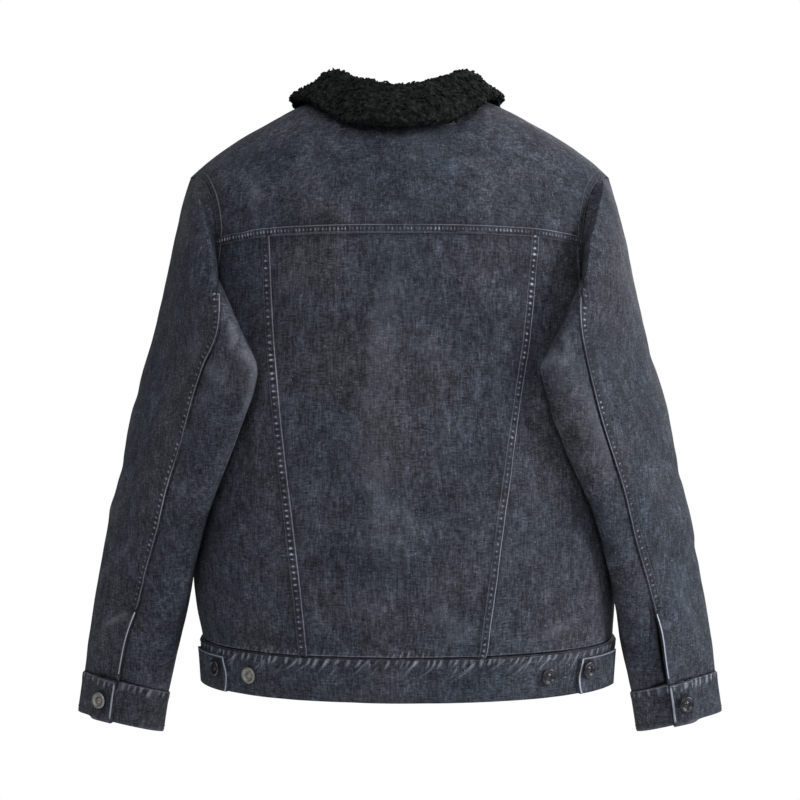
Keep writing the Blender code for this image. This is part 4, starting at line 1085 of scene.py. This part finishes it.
def sew_cuff(side, seed, outwards):
    """A cuff's puckers, its lapped edge and its stitch rows."""
    tree = tree_of("cuff_" + side)
    rim = CLOTHS["cuff_" + side].rim()
    middle = rim.mean(0)

    def turn(p):
        return math.atan2(p[1] - middle[1], p[0] - middle[0])

    levels = rim_levels(rim)
    high, low = levels.max(), levels.min()
    top = even(straightened(rim[levels > high - 4.0 * MM], turn), BAND_STEP)
    laid_strip("cuff_gathers_" + side, top, tree, always(DOWN), CUFF_GATHER,
               gather_profile(seed, CUFF_GATHER, CUFF_PUCKERS), across=11)
    ends = rim[(rim[:, 1] > 0.02) & (levels > low + 4.5 * MM) & (levels < high - 3.0 * MM)]
    split = np.abs(ends[:, 0]).mean()
    lapped = straightened(ends[np.abs(ends[:, 0]) < split], lambda p: p[2], 12)
    worn_edge("cuff_edge_" + side, even(lapped, 0.8 * MM), tree, outwards, 2.6 * MM)
    return band_rows(top, straightened(rim[levels < low + 4.0 * MM], turn), tree)


def make_band_sewing():
    """Puckers, rubbed edges and stitch rows of the waistband, the tabs and the cuffs."""
    rows = sew_waistband()
    for side, sign in SIDES.items():
        outwards = always(Vector((sign, 0, 0)))
        wear_tab(side, outwards)
        wear_slit(side, outwards)
        rows += sew_cuff(side, SEED + 7 + sign, outwards)
    return rows


def make_pile_collar():
    """Curly pile collar: a lumpy ground with locks curling out of it."""
    piece = shell("collar", body_axis, COLLAR_LEVELS, 65, PILE, "curly_pile")
    cloth = Cloth(piece)
    lumps = np.array([noise.noise(Vector(point) * 210.0) for point in cloth.points])
    cloth.points = cloth.points + cloth.normals * (lumps * 1.1 * MM - 0.6 * MM)[:, None]
    cloth.store()
    dice = random.Random(SEED)
    data = piece.data
    data.calc_loop_triangles()
    triangles = list(data.loop_triangles)
    areas = list(accumulate(triangle.area for triangle in triangles))
    shapes = [curl_shape(turns, tube * MM, seed)
              for seed, (turns, tube) in enumerate(((0.62, 1.10), (0.75, 1.00), (0.50, 1.22)))]
    places = {number: [] for number in range(len(shapes))}
    for _ in range(CURLS):
        triangle = dice.choices(triangles, cum_weights=areas)[0]
        corners = [data.vertices[index].co for index in triangle.vertices]
        first, second = dice.random(), dice.random()
        if first + second > 1.0:
            first, second = 1.0 - first, 1.0 - second
        spot = corners[0] + (corners[1] - corners[0]) * first + (corners[2] - corners[0]) * second
        lean = Vector([dice.gauss(0, 0.55) for _ in range(3)])
        out = (triangle.normal + lean).normalized()
        turn = out.to_track_quat("Z", "Y").to_matrix().to_4x4()
        turn = turn @ Matrix.Rotation(dice.uniform(0, 2 * math.pi), 4, "Z")
        size = dice.uniform(0.7, 1.15)
        place = Matrix.Translation(spot + triangle.normal * dice.uniform(-0.8, 0.2) * MM)
        places[dice.randrange(len(shapes))].append(place @ turn @ Matrix.Scale(size, 4))
    for number, shape in enumerate(shapes):
        repeated("collar_curls_%d" % (number + 1), shape, places[number], "curly_pile", PILE)
        bpy.data.meshes.remove(shape)
    return piece


def button_shape():
    """Shank button: a rolled rim round a sunk ring and a small boss."""
    mesh = bmesh.new()
    outline = ((0.0, 4.5), (1.3, 4.4), (2.1, 4.0), (2.5, 3.5), (4.6, 3.4), (5.3, 3.7), (6.0, 4.7),
               (6.9, 5.1), (7.9, 4.7), (8.5, 3.8), (8.3, 2.9), (7.4, 2.4), (3.3, 2.2), (3.2, 0.0))
    verts = [mesh.verts.new((radius * MM, 0.0, height * MM)) for radius, height in outline]
    edges = [mesh.edges.new(pair) for pair in zip(verts, verts[1:])]
    bmesh.ops.spin(mesh, geom=verts + edges, cent=(0, 0, 0), axis=(0, 0, 1), angle=2 * math.pi,
                   steps=28, use_merge=True)
    bmesh.ops.remove_doubles(mesh, verts=mesh.verts[:], dist=0.01 * MM)
    bmesh.ops.holes_fill(mesh, edges=mesh.edges[:], sides=40)
    bmesh.ops.recalc_face_normals(mesh, faces=mesh.faces[:])
    return finished("button", mesh)


def make_buttons():
    """Every button turned again in full detail where its solid sits."""
    shape = button_shape()
    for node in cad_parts:
        if "button" not in node or node == "button_strip":
            continue
        points = points_of(node)
        centre = sum(points, Vector()) / len(points)
        spread = np.array([list(point - centre) for point in points])
        _, _, axes = np.linalg.svd(spread, full_matrices=False)
        normal = Vector(axes[2]).normalized()
        outward = centre - (sleeve_axis(centre) if "cuff" in node else body_axis(centre))
        if normal.dot(outward) < 0:
            normal = -normal
        heights = [(point - centre).dot(normal) for point in points]
        foot = centre + normal * min(heights)
        middle = spread - np.outer(spread @ np.array(normal), np.array(normal))
        offset = Vector((middle.max(0) + middle.min(0)) / 2)
        mesh = bmesh.new()
        mesh.from_mesh(shape)
        turn = normal.to_track_quat("Z", "Y").to_matrix().to_4x4()
        mesh.transform(Matrix.Translation(foot + offset - normal * 0.3 * MM) @ turn)
        metal = PEWTER if node in ("hem_button_left", "cuff_button_left") else DARK_METAL
        piece = new_piece(node + "_turned", mesh, "gunmetal", metal)
        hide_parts(node)
    bpy.data.meshes.remove(shape)


# ------------------------------------------------------------------ studio

Lamp = namedtuple("Lamp", "name place size watts")
LAMPS = (
    Lamp("key", (-2.7, 0.8, 0.5), 1.1, 104.0),
    Lamp("back", (0.1, 2.9, 1.2), 1.6, 58.0),
    Lamp("front", (-1.4, -2.6, 0.8), 1.6, 60.0),
    Lamp("top", (0.1, 0.7, 2.3), 1.8, 32.0),
)
AIM = Vector((0.0, 0.0, -0.3))      # the jacket's middle
CAMERA = (0.0, 1.5, -0.3)
LENS = 61.38                        # mm, on a sensor 36 mm wide
FLOOR_LEVEL = -1.3
GLOW = 0.34                         # strength of the light from all round


def make_floor():
    mesh = bmesh.new()
    bmesh.ops.create_circle(mesh, cap_ends=True, segments=64, radius=1.8,
                            matrix=Matrix.Translation((0.0, 0.0, FLOOR_LEVEL)))
    data = finished("floor", mesh)
    paper = new_material("matt_white_paper", Roughness=1.0, Specular_IOR_Level=0.0,
                         Base_Color=linear("#fbfbfb"))[0]
    data.materials.append(paper)
    floor = shown("floor", data)


def make_lamps():
    """Soft light from the jacket's right side and above."""
    for name, place, size, watts in LAMPS:
        lamp = bpy.data.lights.new(name, "AREA")
        lamp.energy = watts
        lamp.size = size
        holder = shown(name, lamp)
        holder.location = place
        holder.rotation_euler = (AIM - Vector(place)).to_track_quat("-Z", "Y").to_euler()


def make_surroundings():
    """White to the camera, and a faint glow on the cloth."""
    world = bpy.data.worlds.new("studio")
    world.use_nodes = True
    white = linear("#ffffff")
    glow = world.node_tree.nodes["Background"]
    fill(world, glow, Color=white, Strength=GLOW)
    seen = add(world, "LightPath").outputs["Is Camera Ray"]
    both = add(world, "MixShader", i0=seen, i1=glow, i2=add(world, "Background", Color=white))
    fill(world, world.node_tree.nodes["World Output"], Surface=both)
    bpy.context.scene.world = world
    bpy.context.scene.view_settings.view_transform = "Standard"


def make_camera():
    lens = bpy.data.cameras.new("camera")
    lens.sensor_width = 36.0
    lens.lens = LENS
    camera = shown("camera", lens)
    camera.location = CAMERA
    camera.rotation_euler = (math.pi / 2, 0.0, math.pi)
    bpy.context.scene.camera = camera


def main():
    make_shells()
    stitches = make_felled_seams()
    stitches += make_band_sewing()
    sink_buttons()
    paint_shade_under_sleeves()
    shape = stitch_shape()
    repeated("stitches", shape, stitches, "denim", THREADS)
    bpy.data.meshes.remove(shape)
    for node, cloth in CLOTHS.items():
        rounded_wear(cloth)
        sink_inside(cloth)
        cloth.store()
        thin_inside(cloth.piece)
    make_pile_collar()
    make_buttons()
    make_floor()
    make_lamps()
    make_surroundings()
    make_camera()


main()
